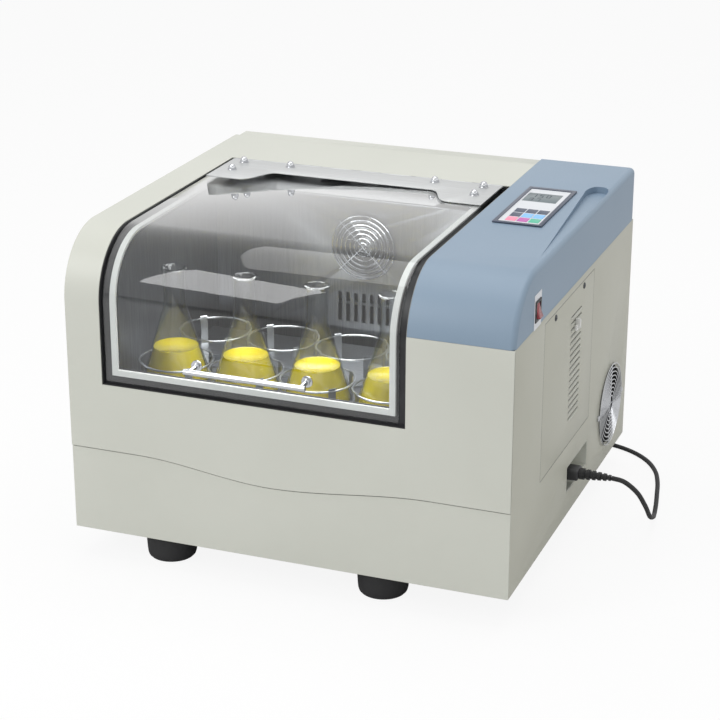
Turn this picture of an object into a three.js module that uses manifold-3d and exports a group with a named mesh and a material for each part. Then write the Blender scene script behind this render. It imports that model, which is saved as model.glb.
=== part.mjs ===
// Benchtop orbital shaker: a painted steel housing with a curved clear lid over a stainless chamber,
// a flask platform carried by three eccentric cranks, a belt drive, two fans and a keypad.
// Millimetres. +X is the operator's right, +Y the rear, +Z up. Heights are above the bench.
// Inside the group X = 0 is the middle of the housing and Y = 0 its front face; the group is then
// placed so that the origin lies under the middle of the whole object.

import * as THREE from 'three';
import { mergeVertices } from 'three/addons/utils/BufferGeometryUtils.js';
import Module from 'manifold-3d';

const wasm = await Module();
wasm.setup();

// ---------------------------------------------------------------- driving dimensions

const gap = 0.3;                 // between faces that touch
const sheet = 1.5;               // painted and stainless sheet

const bodyWidth = 640;
const bodyDepth = 615;
const bodyTop = 477;
const footHeight = 45;
const cornerRadius = 94;         // front edge of the housing, seen from the side

const footRadius = 37;
const footInsetY = 53;
const footLeftX = -195;
const footRightX = 126;

const seamHeight = 170.5;        // wavy seam across the front: at its ends
const seamDip = 18;            // and how far it dips in the middle
const seamGap = 1.4;
const skirtSetBack = 1.4;

const rearStripDepth = 40;       // lower strip along the rear top edge
const rearStripDrop = 4;

const coverLeft = 175;           // moulded control cover
const coverBottom = 396;
const coverWall = 3;
const coverRound = 7;
const scoopDepth = 9;
const scoopFront = 128;
const scoopRear = 490;

const openingLeft = -268;        // lid opening in the housing
const openingRight = 174.4;
const openingBottom = 268;
const openingRear = 447;

const rimGap = 7;                // opening edge to lid edge
const lidLap = 6.5;              // lid edge to seal
const sealWidth = 9;
const lidThick = 4.7;
const sealThick = 4.4;
const flangeThick = 2;

const hingeY = 442;            // lid hinge
const hingeZ = bodyTop - 1.3;
const barrelRadius = 2.6;
const pinRadius = 1.2;
const stripThick = 1.5;
const stripFrontY = 386;
const lobeFrontY = 336;
const lobeWidth = 52;
const lobeCurve = 42;

const handleX = -43;
const handleSpan = 160;
const handleZ = 315.5;
const handleReach = 26;
const handleBarRadius = 4;

const chamberLeft = -306;        // inner faces of the stainless chamber
const chamberRight = 166;
const chamberFloor = 154;
const chamberRear = 530;
const linerInset = 12.3;
const ductWallY = 465;

const platformTop = 205;
const platformThick = 3;
const platformBox = { left: -300, right: 143, front: 34, rear: 430 };
const orbit = 10;                // crank throw: half the orbit's diameter
const crankX = -60;
const crankY = 290;
const idlerY = 125;
const idlerLeftX = -220;
const idlerRightX = 80;
const runningGap = 0.4;

const columnPitch = 110;
const firstColumnX = -240;
const columns = 4;
const smallRowY = 78;
const flaskRowY = 176;
const rearRowY = 312;
const flaskBase = 50.5;          // radius of a 500 mL flask's base
const flaskHeight = 180;
const flaskNeck = 17;
const flaskShoulder = 118;
const flaskWall = 2.4;
const liquidDepth = 42;
const smallBase = 29;
const clampDisc = 2;
const leafThick = 1.2;
const ringWire = 1.6;

const pulleyRadius = 68;         // belt drive
const motorPulleyRadius = 17;
const pulleyLow = 92;
const pulleyHigh = 108;
const motorX = 80;
const motorY = 400;
const motorRadius = 44;

const fanY = 515;                // side cooling fan
const fanZ = 131;
const fanSize = 127;
const fanBore = 60;
const fanDepth = 38;
const guardRadius = 64;

const service = { front: 139, rear: 390, low: 158, high: 385 };
const serviceGroove = 0.8;
const slotCount = 17;
const slotPitch = 9.5;
const slotHeight = 3.4;
const slotFront = 272;
const slotRear = 326;
const slotLow = 196;

const recess = { front: 280, rear: 390, low: 81, high: 122, depth: 30 };
const inletY = 308;
const inletZ = 103;

const panel = { left: 209, right: 269, front: 271, rear: 441 };  // keypad membrane
const bezelRim = 5.5;
const bezelHigh = 2.3;
const membraneHigh = 1.4;
const lcd = { left: 212, right: 262, front: 378, rear: 421 };
const keyField = { left: 217, front: 277, pitchX: 16.5, pitchY: 21.4 };
const keySize = { x: 14.6, y: 18.4 };
const keyTravel = 0.6;

const rockerY = 98;
const rockerZ = 419;
const rockerReach = 6.4;         // how far its lower half stands out

const circulationX = -60;
const circulationZ = 352;
const circulationHole = 47;

const cordRadius = 3.5;
const coilX = 90;
const coilY = 684;
const coilInner = 28;
const coilOuter = 49;
const coilHigh = 14;

// ---------------------------------------------------------------- materials

function paint(color, roughness, metalness = 0) {
  return new THREE.MeshStandardMaterial({ color, roughness, metalness });
}

const cream = paint(0xc9cac1, 0.45);
const blue = paint(0x93a1b4, 0.5);
const stainless = paint(0xb9bcc0, 0.3, 1);
const brushed = paint(0xc4c6c8, 0.35, 1);
const chrome = paint(0xe0e2e4, 0.12, 1);
const castIron = paint(0x55585c, 0.6, 0.6);
const black = paint(0x15161a, 0.5);
const rubber = paint(0x101012, 0.8);
const white = paint(0xf1f2f0, 0.5);
const slate = paint(0x3f4c60, 0.4);
const boardGreen = paint(0x1f6b46, 0.6);
const red = paint(0xb3182a, 0.3);
const acrylic = new THREE.MeshStandardMaterial({
  color: 0xdfe8ea, roughness: 0.05, transparent: true, opacity: 0.3,
});
const glass = new THREE.MeshStandardMaterial({
  color: 0xf3f0c0, roughness: 0.05, transparent: true, opacity: 0.5,
});

// ---------------------------------------------------------------- solids and placing

const shaker = new THREE.Group();

function toSolid(geometry) {
  geometry.deleteAttribute('normal');
  geometry.deleteAttribute('uv');
  const welded = mergeVertices(geometry, 1e-4);
  return new wasm.Manifold(new wasm.Mesh({
    numProp: 3,
    vertProperties: new Float32Array(welded.attributes.position.array),
    triVerts: new Uint32Array(welded.index.array),
  }));
}

function cut(base, ...tools) {
  return tools.reduce((solid, tool) => solid.subtract(tool), base);
}

function join(first, ...others) {
  return others.reduce((solid, other) => solid.add(other), first);
}

function add(name, solid, material) {
  const { vertProperties, triVerts } = solid.getMesh();
  const geometry = new THREE.BufferGeometry();
  geometry.setAttribute('position', new THREE.BufferAttribute(vertProperties, 3));
  geometry.setIndex(new THREE.BufferAttribute(triVerts, 1));
  geometry.computeVertexNormals();
  const mesh = new THREE.Mesh(geometry, material);
  mesh.name = name;
  shaker.add(mesh);
  return mesh;
}

const AXIS_X = new THREE.Vector3(1, 0, 0);
const AXIS_Y = new THREE.Vector3(0, 1, 0);
const AXIS_Z = new THREE.Vector3(0, 0, 1);

function extrude(shape, depth, basis, shift, curveSegments) {
  const geometry = new THREE.ExtrudeGeometry(shape, { depth, bevelEnabled: false, curveSegments });
  geometry.applyMatrix4(basis).translate(...shift);
  return toSolid(geometry);
}

// A shape drawn in (y, z), from x0 to x1.
function alongX(shape, x0, x1, curveSegments = 7) {
  const basis = new THREE.Matrix4().makeBasis(AXIS_Y, AXIS_Z, AXIS_X);
  return extrude(shape, x1 - x0, basis, [x0, 0, 0], curveSegments);
}

// A shape drawn in (x, z), from y0 to y1.
function alongY(shape, y0, y1, curveSegments = 7) {
  const basis = new THREE.Matrix4().makeBasis(AXIS_X, AXIS_Z, AXIS_Y.clone().negate());
  return extrude(shape, y1 - y0, basis, [0, y1, 0], curveSegments);
}

// A shape drawn in (x, y), from z0 to z1.
function alongZ(shape, z0, z1, curveSegments = 7) {
  return extrude(shape, z1 - z0, new THREE.Matrix4(), [0, 0, z0], curveSegments);
}

function polygon(points) {
  return new THREE.Shape(points.map(([a, b]) => new THREE.Vector2(a, b)));
}

function circle(a, b, radius) {
  return new THREE.Shape().absarc(a, b, radius, 0, 2 * Math.PI, false);
}

function box(x0, x1, y0, y1, z0, z1) {
  const geometry = new THREE.BoxGeometry(x1 - x0, y1 - y0, z1 - z0);
  return toSolid(geometry.translate((x0 + x1) / 2, (y0 + y1) / 2, (z0 + z1) / 2));
}

// three.js gives a full circle twice as many points as its curve segments.
function rodX(x0, x1, y, z, radius, sides = 12) {
  return alongX(circle(y, z, radius), x0, x1, sides / 2);
}

function rodY(y0, y1, x, z, radius, sides = 16) {
  return alongY(circle(x, z, radius), y0, y1, sides / 2);
}

function rodZ(z0, z1, x, y, radius, sides = 16) {
  return alongZ(circle(x, y, radius), z0, z1, sides / 2);
}

// A profile of [radius, height] points that starts and ends on the axis, turned about Z.
function lathe(profile, x, y, z, sides = 24) {
  const points = profile.map(([r, h]) => new THREE.Vector2(r, h));
  const geometry = new THREE.LatheGeometry(points, sides);
  return toSolid(geometry.rotateX(Math.PI / 2).translate(x, y, z));
}

// A ring whose section is a closed loop of [radius, height] points.
function turnedRing(section, x, y, z, sides = 24) {
  return lathe([...section, section[0]], x, y, z, sides);
}

function wire(points, radius, sides = 6, steps = 40, closed = false) {
  const curve = new THREE.CatmullRomCurve3(
    points.map((p) => new THREE.Vector3(...p)), closed, 'centripetal');
  const section = new THREE.Shape();
  section.absarc(0, 0, radius, 0, 2 * Math.PI, false);
  const geometry = new THREE.ExtrudeGeometry(section, {
    extrudePath: curve, steps, curveSegments: sides / 2, bevelEnabled: false,
  });
  return toSolid(geometry);
}

// ---------------------------------------------------------------- the housing's side profile

// The area inside the housing, seen from the side, a given distance in from its front and top.
function profile(inset, bottom, rear) {
  const top = bodyTop - inset;
  const shape = new THREE.Shape();
  shape.moveTo(inset, bottom);
  shape.lineTo(rear, bottom);
  shape.lineTo(rear, top);
  shape.lineTo(cornerRadius, top);
  shape.absarc(cornerRadius, bodyTop - cornerRadius, cornerRadius - inset,
    Math.PI / 2, Math.PI, false);
  return shape;
}

// A bent sheet that follows the front and top between two depths below the surface.
function layer(outer, inner, x0, x1, bottom, rear) {
  return cut(
    alongX(profile(outer, bottom, rear), x0, x1),
    alongX(profile(inner, bottom - 1, rear + 1), x0 - 1, x1 + 1));
}

function block(inset, x0, x1, bottom, rear) {
  return alongX(profile(inset, bottom, rear), x0, x1);
}

// Everything below the wavy seam, moved up or down by an offset.
function belowSeam(offset, y0, y1) {
  const half = bodyWidth / 2 + 1;
  const high = seamHeight + offset;
  const low = high - seamDip;
  const shape = new THREE.Shape();
  shape.moveTo(-half, 0);
  shape.lineTo(half, 0);
  shape.lineTo(half, high);
  shape.lineTo(210, high);
  shape.bezierCurveTo(150, high, 70, low, -20, low);
  shape.bezierCurveTo(-110, low, -150, high, -218, high);
  shape.lineTo(-half, high);
  return alongY(shape, y0, y1, 12);
}

// ---------------------------------------------------------------- base and housing

const left = -bodyWidth / 2;
const right = bodyWidth / 2;
const baseTop = footHeight + 2;
const idlerPostTop = chamberFloor - sheet - gap - 2;

function addBase() {
  const plate = box(left + sheet + gap, right - sheet - gap,
    skirtSetBack + sheet + gap, bodyDepth - sheet - gap, footHeight, baseTop);
  const posts = [idlerLeftX, idlerRightX].map((x) =>
    rodZ(baseTop - 0.5, idlerPostTop, x, idlerY, 15));
  const bores = [idlerLeftX, idlerRightX].map((x) =>
    rodZ(baseTop + 40, idlerPostTop + 1, x, idlerY, 6 + runningGap));
  add('base_plate', cut(join(plate, ...posts), ...bores), castIron);
}

function addFeet() {
  const top = footHeight - gap;
  const profilePoints = [
    [0, 0], [footRadius - 10, 0], [footRadius - 5, 1.6], [footRadius - 2.6, 6],
    [footRadius - 1.6, 14], [footRadius, top], [0, top],
  ];
  const rearY = bodyDepth - footInsetY;
  const feet = [
    ['foot_front_left', footLeftX, footInsetY], ['foot_front_right', footRightX, footInsetY],
    ['foot_rear_left', footLeftX, rearY], ['foot_rear_right', footRightX, rearY],
  ];
  for (const [name, x, y] of feet) {
    add(name, lathe(profilePoints, x, y, 0, 24), rubber);
  }
}

function addFrontPanels() {
  const y0 = skirtSetBack;
  add('lower_front_panel', alongYBounded(y0, y0 + sheet), cream);

  const rear = bodyDepth - rearStripDepth;
  const whole = layer(0, sheet, left, right, footHeight + 90, rear);
  const behindCover = box(coverLeft - gap, right + 1, -1, rear + 1, coverBottom - gap, bodyTop + 1);
  const opening = box(openingLeft, openingRight, -1, openingRear, openingBottom, bodyTop + 1);
  add('upper_cover', cut(whole, belowSeam(0, -1, 20), behindCover, opening), cream);
}

function alongYBounded(y0, y1) {
  const skirt = belowSeam(-seamGap, y0, y1);
  return cut(skirt,
    box(left - 3, right + 3, y0 - 1, y1 + 1, -1, footHeight),
    box(right, right + 3, y0 - 1, y1 + 1, -1, bodyTop),
    box(left - 3, left, y0 - 1, y1 + 1, -1, bodyTop));
}

function addLeftSide() {
  const rear = bodyDepth - sheet - gap;
  const inside = skirtSetBack + sheet + gap;
  const side = cut(block(sheet + gap, left, left + sheet, footHeight, rear),
    box(left - 1, left + 2, 0, inside, 0, seamHeight + 4),
    box(left - 1, left + 2, bodyDepth - rearStripDepth - 10 - gap, bodyDepth,
      bodyTop - rearStripDrop - sheet - gap, bodyTop));
  add('left_side_panel', side, cream);
}

function addRightSide() {
  const x0 = right - sheet;
  const side = box(x0, right, skirtSetBack + sheet + gap, bodyDepth - sheet - gap,
    footHeight, coverBottom - gap);
  const pocket = serviceGroove;
  add('right_side_panel', cut(side,
    box(x0 - 1, right + 1, service.front - pocket, service.rear + pocket,
      service.low - pocket, service.high + pocket),
    box(x0 - 1, right + 1, recess.front, recess.rear, recess.low, recess.high),
    rodX(x0 - 1, right + 1, fanY, fanZ, fanBore, 28)), cream);
}

function addRearCover() {
  const y0 = bodyDepth - sheet;
  const stripTop = bodyTop - rearStripDrop;
  const back = box(left, right, y0, bodyDepth, footHeight, stripTop);
  const flange = box(left, right, bodyDepth - rearStripDepth - 10, bodyDepth,
    stripTop - sheet, stripTop);
  const coverSide = box(coverLeft - gap, right + 1, 0, bodyDepth + 1, coverBottom - gap, bodyTop);
  const vents = [];
  for (let i = 0; i < 8; i += 1) {
    const x = circulationX - 45.5 + i * 13;
    vents.push(box(x - 1.7, x + 1.7, y0 - 1, bodyDepth + 1, 220, 300));
  }
  add('rear_cover', cut(join(back, flange), coverSide, ...vents), cream);
}

// The shallow finger scoop beside the keypad; grown makes it larger all round and deeper.
function scoop(grown) {
  const edge = right - 3.4;
  const shape = new THREE.Shape();
  shape.moveTo(edge - 6 - grown, scoopFront - 2.5 * grown);
  shape.lineTo(edge - 2 + grown, scoopFront - 2.5 * grown);
  shape.lineTo(edge + grown, scoopRear - 26);
  shape.quadraticCurveTo(edge + grown, scoopRear + grown, edge - 16, scoopRear + grown);
  shape.quadraticCurveTo(edge - 30 - grown, scoopRear + grown, edge - 32 - grown, scoopRear - 30);
  const floor = polygon([
    [scoopFront - 20, bodyTop - grown + 0.6], [scoopRear + 20, bodyTop - scoopDepth - grown],
    [scoopRear + 20, bodyTop + 5], [scoopFront - 20, bodyTop + 5],
  ]);
  return alongZ(shape, bodyTop - 30, bodyTop + 5, 6).intersect(alongX(floor, 0, right + 10));
}

function addControlCover() {
  const outerShape = profile(coverRound, coverBottom - 20, bodyDepth - coverRound);
  const rounded = new THREE.ExtrudeGeometry(outerShape, {
    depth: 150, bevelEnabled: true, bevelSize: coverRound, bevelThickness: coverRound,
    bevelSegments: 3, curveSegments: 7,
  });
  rounded.applyMatrix4(new THREE.Matrix4().makeBasis(AXIS_Y, AXIS_Z, AXIS_X));
  rounded.translate(right - 150 - coverRound, 0, 0);
  const outer = cut(toSolid(rounded),
    box(0, coverLeft, -50, bodyDepth + 50, 0, bodyTop + 50),
    box(0, right + 50, -50, bodyDepth + 50, 0, coverBottom),
    scoop(0));
  const hollow = cut(
    block(coverWall, coverLeft - 1, right - coverWall, coverBottom - 20, bodyDepth - coverWall),
    scoop(coverWall));
  const displayHole = box(panel.left + 3, panel.right - 3, panel.front + 2, panel.rear - 3,
    bodyTop - 10, bodyTop + 5);
  const switchHole = box(right - 10, right + 5, rockerY - 10.4, rockerY + 10.4,
    rockerZ - 12.4, rockerZ + 12.4);
  add('control_cover', cut(outer, hollow, displayHole, switchHole), blue);
}

// ---------------------------------------------------------------- keypad and switch

function addKeypad() {
  const z0 = bodyTop + gap;
  const outer = box(panel.left - bezelRim, panel.right + bezelRim, panel.front - bezelRim,
    panel.rear + bezelRim + 3, z0, z0 + bezelHigh);
  const inner = box(panel.left, panel.right, panel.front, panel.rear, z0 - 1, z0 + 5);

  const keys = [];
  for (let row = 0; row < 3; row += 1) {
    for (let column = 0; column < 3; column += 1) {
      const x = keyField.left + keyField.pitchX * (column + 0.5);
      const y = keyField.front + keyField.pitchY * (2.5 - row);
      keys.push({ name: `key_${row + 1}_${column + 1}`, x, y });
    }
  }
  const holes = keys.map(({ x, y }) => box(x - keySize.x / 2 - gap, x + keySize.x / 2 + gap,
    y - keySize.y / 2 - gap, y + keySize.y / 2 + gap, z0 - 1, z0 + 5));
  const window = box(lcd.left, lcd.right, lcd.front, lcd.rear, z0 - 1, z0 + 5);
  const membrane = box(panel.left - 1, panel.right + 1, panel.front - 1, panel.rear + 1,
    z0, z0 + membraneHigh);
  add('keypad_face', join(cut(outer, inner), cut(membrane, window, ...holes)), slate);

  const colors = [0x27324a, 0x27324a, 0x27324a, 0x27324a, 0x6fb2e6, 0x6fb2e6,
    0xe77f9b, 0xb54da0, 0x3fae8d];
  const keyBottom = bodyTop - 3;
  keys.forEach(({ name, x, y }, i) => {
    add(name, box(x - keySize.x / 2, x + keySize.x / 2, y - keySize.y / 2, y + keySize.y / 2,
      keyBottom, z0 + membraneHigh + 0.2), paint(colors[i], 0.5));
  });

  const boardTop = keyBottom - keyTravel - 0.4;
  const board = box(panel.left + 1, panel.right - 1, panel.front + 1, panel.rear - 1,
    boardTop - 1.6, boardTop);
  const lcdBlock = box(lcd.left + 1, lcd.right - 1, lcd.front + 1, lcd.rear - 1,
    boardTop - 0.5, z0 + 0.4);
  const posts = [];
  for (const x of [panel.left + 1.5, panel.right - 1.5]) {
    for (const y of [panel.front + 4, panel.rear - 5]) {
      posts.push(box(x - 1, x + 1, y - 2, y + 2, boardTop - 0.5, bodyTop - coverWall - gap));
    }
  }
  add('display_board', join(board, lcdBlock, ...posts), boardGreen);
}

function addSwitch() {
  const flange = box(right + gap, right + 2, rockerY - 12.5, rockerY + 12.5,
    rockerZ - 14.5, rockerZ + 14.5);
  const can = box(right - 20, right + 1, rockerY - 10, rockerY + 10, rockerZ - 12, rockerZ + 12);
  const mouth = box(right - 14, right + 5, rockerY - 8.5, rockerY + 8.5,
    rockerZ - 11, rockerZ + 11);
  add('switch_housing', cut(join(flange, can), mouth), black);

  const shape = polygon([
    [right + 0.6, rockerZ + 10], [right + 2.4, rockerZ], [right + rockerReach, rockerZ - 9.6],
    [right - 3, rockerZ - 9.6], [right - 8, rockerZ], [right - 4.5, rockerZ + 10],
  ]);
  add('switch_rocker', alongY(shape, rockerY - 8, rockerY + 8), red);
}

// ---------------------------------------------------------------- right side: service panel, fan, inlet

function addServicePanel() {
  const slots = [];
  for (let i = 0; i < slotCount; i += 1) {
    const z = slotLow + i * slotPitch;
    slots.push(box(right - 4, right + 1, slotFront, slotRear, z, z + slotHeight));
  }
  add('service_panel', cut(
    box(right - sheet, right, service.front, service.rear, service.low, service.high),
    ...slots), cream);
}

function addSideFan() {
  const face = right - sheet - gap;
  const half = fanSize / 2;
  const frame = box(face - fanDepth, face, fanY - half, fanY + half, fanZ - half, fanZ + half);
  const bore = rodX(face - fanDepth + 4, face + 1, fanY, fanZ, fanBore, 28);
  const rearBore = rodX(face - fanDepth - 1, face, fanY, fanZ, fanBore, 28);
  const spider = join(rodX(face - fanDepth, face - fanDepth + 4, fanY, fanZ, 24, 16),
    box(face - fanDepth, face - fanDepth + 4, fanY - half + 1, fanY + half - 1, fanZ - 3, fanZ + 3),
    box(face - fanDepth, face - fanDepth + 4, fanY - 3, fanY + 3, fanZ - half + 1, fanZ + half - 1));
  const axle = rodX(face - fanDepth + 3, face - 12, fanY, fanZ, 3, 10);
  add('side_fan_frame', join(cut(frame, bore, rearBore), spider, axle), black);

  const hubRear = face - fanDepth + 4.5;
  const hub = rodX(hubRear, face - 5, fanY, fanZ, 22, 20);
  const bladeSolids = [];
  for (let i = 0; i < 7; i += 1) {
    bladeSolids.push(fanBlade(hubRear + 3, face - 8, 20, fanBore - 2, (i * 2 * Math.PI) / 7));
  }
  const axleBore = rodX(hubRear - 1, face - 11, fanY, fanZ, 3.5, 10);
  add('side_fan_rotor', cut(join(hub, ...bladeSolids), axleBore), black);
  addSideGuard();
}

// One pitched blade of the side fan, from inner to outer radius, turned about the fan's X axis.
function fanBlade(x0, x1, inner, outer, angle) {
  const geometry = new THREE.BoxGeometry(1.8, outer - inner, (x1 - x0) * 0.9);
  geometry.rotateY(-0.75);
  geometry.translate(0, (inner + outer) / 2, 0);
  geometry.rotateX(angle);
  return toSolid(geometry.translate((x0 + x1) / 2, fanY, fanZ));
}

function addSideGuard() {
  const x0 = right + gap;
  const ringWidth = 1.9;
  const rings = [];
  for (let r = guardRadius; r > 8; r -= 9.5) {
    rings.push(alongX(ringShape(fanY, fanZ, r - ringWidth, r), x0 + 1.5, x0 + 3.4,
      r > 30 ? 12 : 8));
  }
  const bars = [0.02, Math.PI / 2 + 0.02].map((angle, i) => {
    const reach = i === 0 ? guardRadius + 6 : guardRadius - 1;
    const bar = new THREE.BoxGeometry(2, 2 * reach, 2.4);
    bar.rotateX(angle - 0.05).translate(x0 + 1, fanY, fanZ);
    return toSolid(bar);
  });
  const tabs = [-1, 1].map((side) =>
    rodX(x0, x0 + 2, fanY + side * (guardRadius + 5), fanZ - 0.03 * side * guardRadius, 4.5, 12));
  add('side_fan_guard', join(bars[0], bars[1], ...rings, ...tabs), chrome);
}

function ringShape(a, b, inner, outer) {
  const shape = circle(a, b, outer);
  shape.holes.push(new THREE.Path().absarc(a, b, inner, 0, 2 * Math.PI, true));
  return shape;
}

function addInlet() {
  const x0 = right - recess.depth;
  const cup = box(x0, right - gap, recess.front + gap, recess.rear - gap,
    recess.low + gap, recess.high - gap);
  const space = box(x0 + sheet, right + 1, recess.front + gap + sheet, recess.rear - gap - sheet,
    recess.low + gap + sheet, recess.high - gap - sheet);
  const hole = box(x0 - 1, x0 + 3, inletY - 14, inletY + 14, inletZ - 10.5, inletZ + 10.5);
  add('inlet_recess', cut(cup, space, hole), cream);

  const face = x0 + sheet + gap;
  const flange = box(face, face + 3, inletY - 25, inletY + 25, inletZ - 13.5, inletZ + 13.5);
  const barrel = box(face - 16, face + 1, inletY - 13.5, inletY + 13.5, inletZ - 10, inletZ + 10);
  const well = box(face - 13, face + 5, inletY - 12.2, inletY + 12.2, inletZ - 8.2, inletZ + 8.2);
  const pins = [-7, 0, 7].map((dy) => box(face - 14, face - 1, inletY + dy - 1, inletY + dy + 1,
    inletZ - 2 + (dy === 0 ? 3 : 0), inletZ + 2 + (dy === 0 ? 3 : 0)));
  add('power_inlet', join(cut(join(flange, barrel), well), ...pins), black);
}

// ---------------------------------------------------------------- mains cord

const connectorFace = right - recess.depth + sheet + gap;
const bootEnd = right + 58;

function addCord() {
  const nose = box(connectorFace - 11, connectorFace + 4, inletY - 11.7, inletY + 11.7,
    inletZ - 7.7, inletZ + 7.7);
  const sockets = [-7, 0, 7].map((dy) => box(connectorFace - 12, connectorFace,
    inletY + dy - 1.5, inletY + dy + 1.5,
    inletZ - 2.6 + (dy === 0 ? 3 : 0), inletZ + 2.6 + (dy === 0 ? 3 : 0)));
  const grip = box(connectorFace + 3.3, right + 12, inletY - 13, inletY + 13,
    inletZ - 9, inletZ + 9);
  const boot = lathe([[0, 0], [8.5, 0], [4.6, bootEnd - right - 12], [0, bootEnd - right - 12]],
    0, 0, 0, 12);
  const turned = boot.rotate([0, 90, 0]).translate([right + 11.9, inletY, inletZ]);
  add('cord_connector', join(cut(nose, ...sockets), grip, turned), black);

  // The route from the boot down to the bench, back past the housing and round to the coil.
  const z = cordRadius + 0.1;
  const route = [
    [bootEnd + 0.9, inletY, inletZ], [bootEnd + 18, inletY + 1, inletZ - 3],
    [bootEnd + 36, inletY + 9, inletZ - 20], [bootEnd + 46, inletY + 24, inletZ - 46],
    [bootEnd + 49, inletY + 46, inletZ - 72], [bootEnd + 47, inletY + 76, z + 13],
    [bootEnd + 42, inletY + 108, z + 1.5], [bootEnd + 36, inletY + 145, z],
    [bootEnd + 28, inletY + 186, z], [bootEnd + 19, inletY + 228, z],
    [bootEnd + 6, inletY + 268, z], [bootEnd - 16, inletY + 304, z],
    [bootEnd - 47, inletY + 331, z], [bootEnd - 85, inletY + 347, z],
    [bootEnd - 127, inletY + 351, z], [bootEnd - 172, inletY + 346, z],
    [bootEnd - 214, inletY + 335, z], [bootEnd - 246, inletY + 327, z],
    [coilX + 12, coilY - coilOuter - cordRadius - 0.9, z],
    [coilX - 2, coilY - coilOuter - cordRadius - 0.5, z],
  ];
  add('power_cord', wire(route, cordRadius, 8, 46), rubber);
  add('cord_coil', turnedRing([
    [coilInner, 0.1], [coilOuter, 0.1], [coilOuter, coilHigh], [coilInner, coilHigh],
  ], coilX, coilY, 0, 24), rubber);
  addPlug();
}

// The plug lies beside the coil, in line with the cord that leaves it.
function addPlug() {
  const plugX = coilX + 28;
  const y = coilY + 45;
  const boot = lathe([[0, 0], [4.4, 0], [8, 26], [0, 26]], 0, 0, 0, 12);
  const turned = boot.rotate([0, 90, 0]).translate([plugX, y, 10.5]);
  const body = box(plugX + 25, plugX + 52, y - 17, y + 17, 0.5, 20.5);
  const pins = [[-9, 6.5], [9, 6.5], [0, 14.5]].map(([dy, z]) =>
    box(plugX + 51, plugX + 70, y + dy - 3, y + dy + 3, z - 1, z + 1));
  add('mains_plug', join(turned, body, ...pins), black);
}

// ---------------------------------------------------------------- lid opening and lid

const lidLeft = openingLeft + rimGap;
const lidRight = openingRight - rimGap - 2;
const lidBottom = openingBottom + rimGap;
const lidRear = hingeY - barrelRadius - 1.6;
const sealLeft = lidLeft + lidLap;
const sealRight = lidRight - lidLap;
const sealBottom = lidBottom + lidLap;
const windowMargin = sealWidth + 1;
const sealInset = gap + lidThick + gap;
const flangeInset = sealInset + sealThick + gap;

function addOpeningFrame() {
  const wall = sheet;
  const whole = block(sheet + gap, openingLeft - gap, openingRight + 0.1, openingBottom - gap,
    openingRear + gap);
  const beneath = block(flangeInset + flangeThick, openingLeft - 9, openingRight + 9,
    openingBottom - 9, openingRear + 9);
  const tray = block(-4, openingLeft - gap + wall, openingRight - wall, openingBottom - gap + wall,
    openingRear - wall);
  const traySpace = tray.intersect(cut(
    block(-4, openingLeft - 9, openingRight + 9, openingBottom - 9, openingRear + 9),
    block(flangeInset, openingLeft - 9, openingRight + 9, openingBottom - 9, openingRear + 9)));
  const window = block(-5, sealLeft + windowMargin, sealRight - windowMargin,
    sealBottom + windowMargin, lobeFrontY + 8);
  const hingeRoom = box(left, openingRight + 5, hingeY - 8, openingRear + 9,
    hingeZ - barrelRadius - 0.6, bodyTop + 9);
  add('opening_frame', cut(whole, beneath, traySpace, window, hingeRoom), black);
}

function addSeal() {
  const strip = layer(sealInset, sealInset + sealThick, sealLeft, sealRight, sealBottom,
    lobeFrontY + 20);
  const inner = block(-5, sealLeft + sealWidth, sealRight - sealWidth, sealBottom + sealWidth,
    bodyDepth);
  add('lid_seal', cut(strip, inner), white);
}

function knuckles(indices, radius) {
  const count = 9;
  const x0 = lidLeft;
  const pitch = (lidRight - lidLeft) / count;
  return indices.map((i) =>
    rodX(x0 + i * pitch + 0.2, x0 + (i + 1) * pitch - 0.2, hingeY, hingeZ, radius));
}

function knuckleLinks(indices, y0, y1, z0, z1) {
  const pitch = (lidRight - lidLeft) / 9;
  return indices.map((i) =>
    box(lidLeft + i * pitch + 0.2, lidLeft + (i + 1) * pitch - 0.2, y0, y1, z0, z1));
}

function addLid() {
  add('lid_shell', layer(gap, gap + lidThick, lidLeft, lidRight, lidBottom, lidRear), acrylic);

  const moving = [1, 3, 5, 7];
  const fixed = [0, 2, 4, 6, 8];
  const bore = rodX(left, right, hingeY, hingeZ, pinRadius + gap);
  const pin = rodX(lidLeft + 1, lidRight - 1, hingeY, hingeZ, pinRadius, 10);
  const z0 = bodyTop;
  const stripRear = hingeY - barrelRadius - 0.5;
  const strip = alongZ(stripShape(stripRear), z0 + gap / 3, z0 + stripThick, 8);
  add('hinge_strip', cut(join(strip, ...knuckles(moving, barrelRadius),
    ...knuckleLinks(moving, stripRear - 1, hingeY, z0 + gap / 3, z0 + 0.8)), bore), brushed);

  const leafLow = hingeZ - barrelRadius;
  const leaf = box(lidLeft, lidRight, hingeY + barrelRadius + 0.5, hingeY + 19, leafLow,
    leafLow + 1.2);
  add('hinge_leaf', join(leaf, pin, ...knuckles(fixed, barrelRadius),
    ...knuckleLinks(fixed, hingeY, hingeY + barrelRadius + 1, leafLow, leafLow + 1.2)), brushed);
  addHandle();
}

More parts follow.
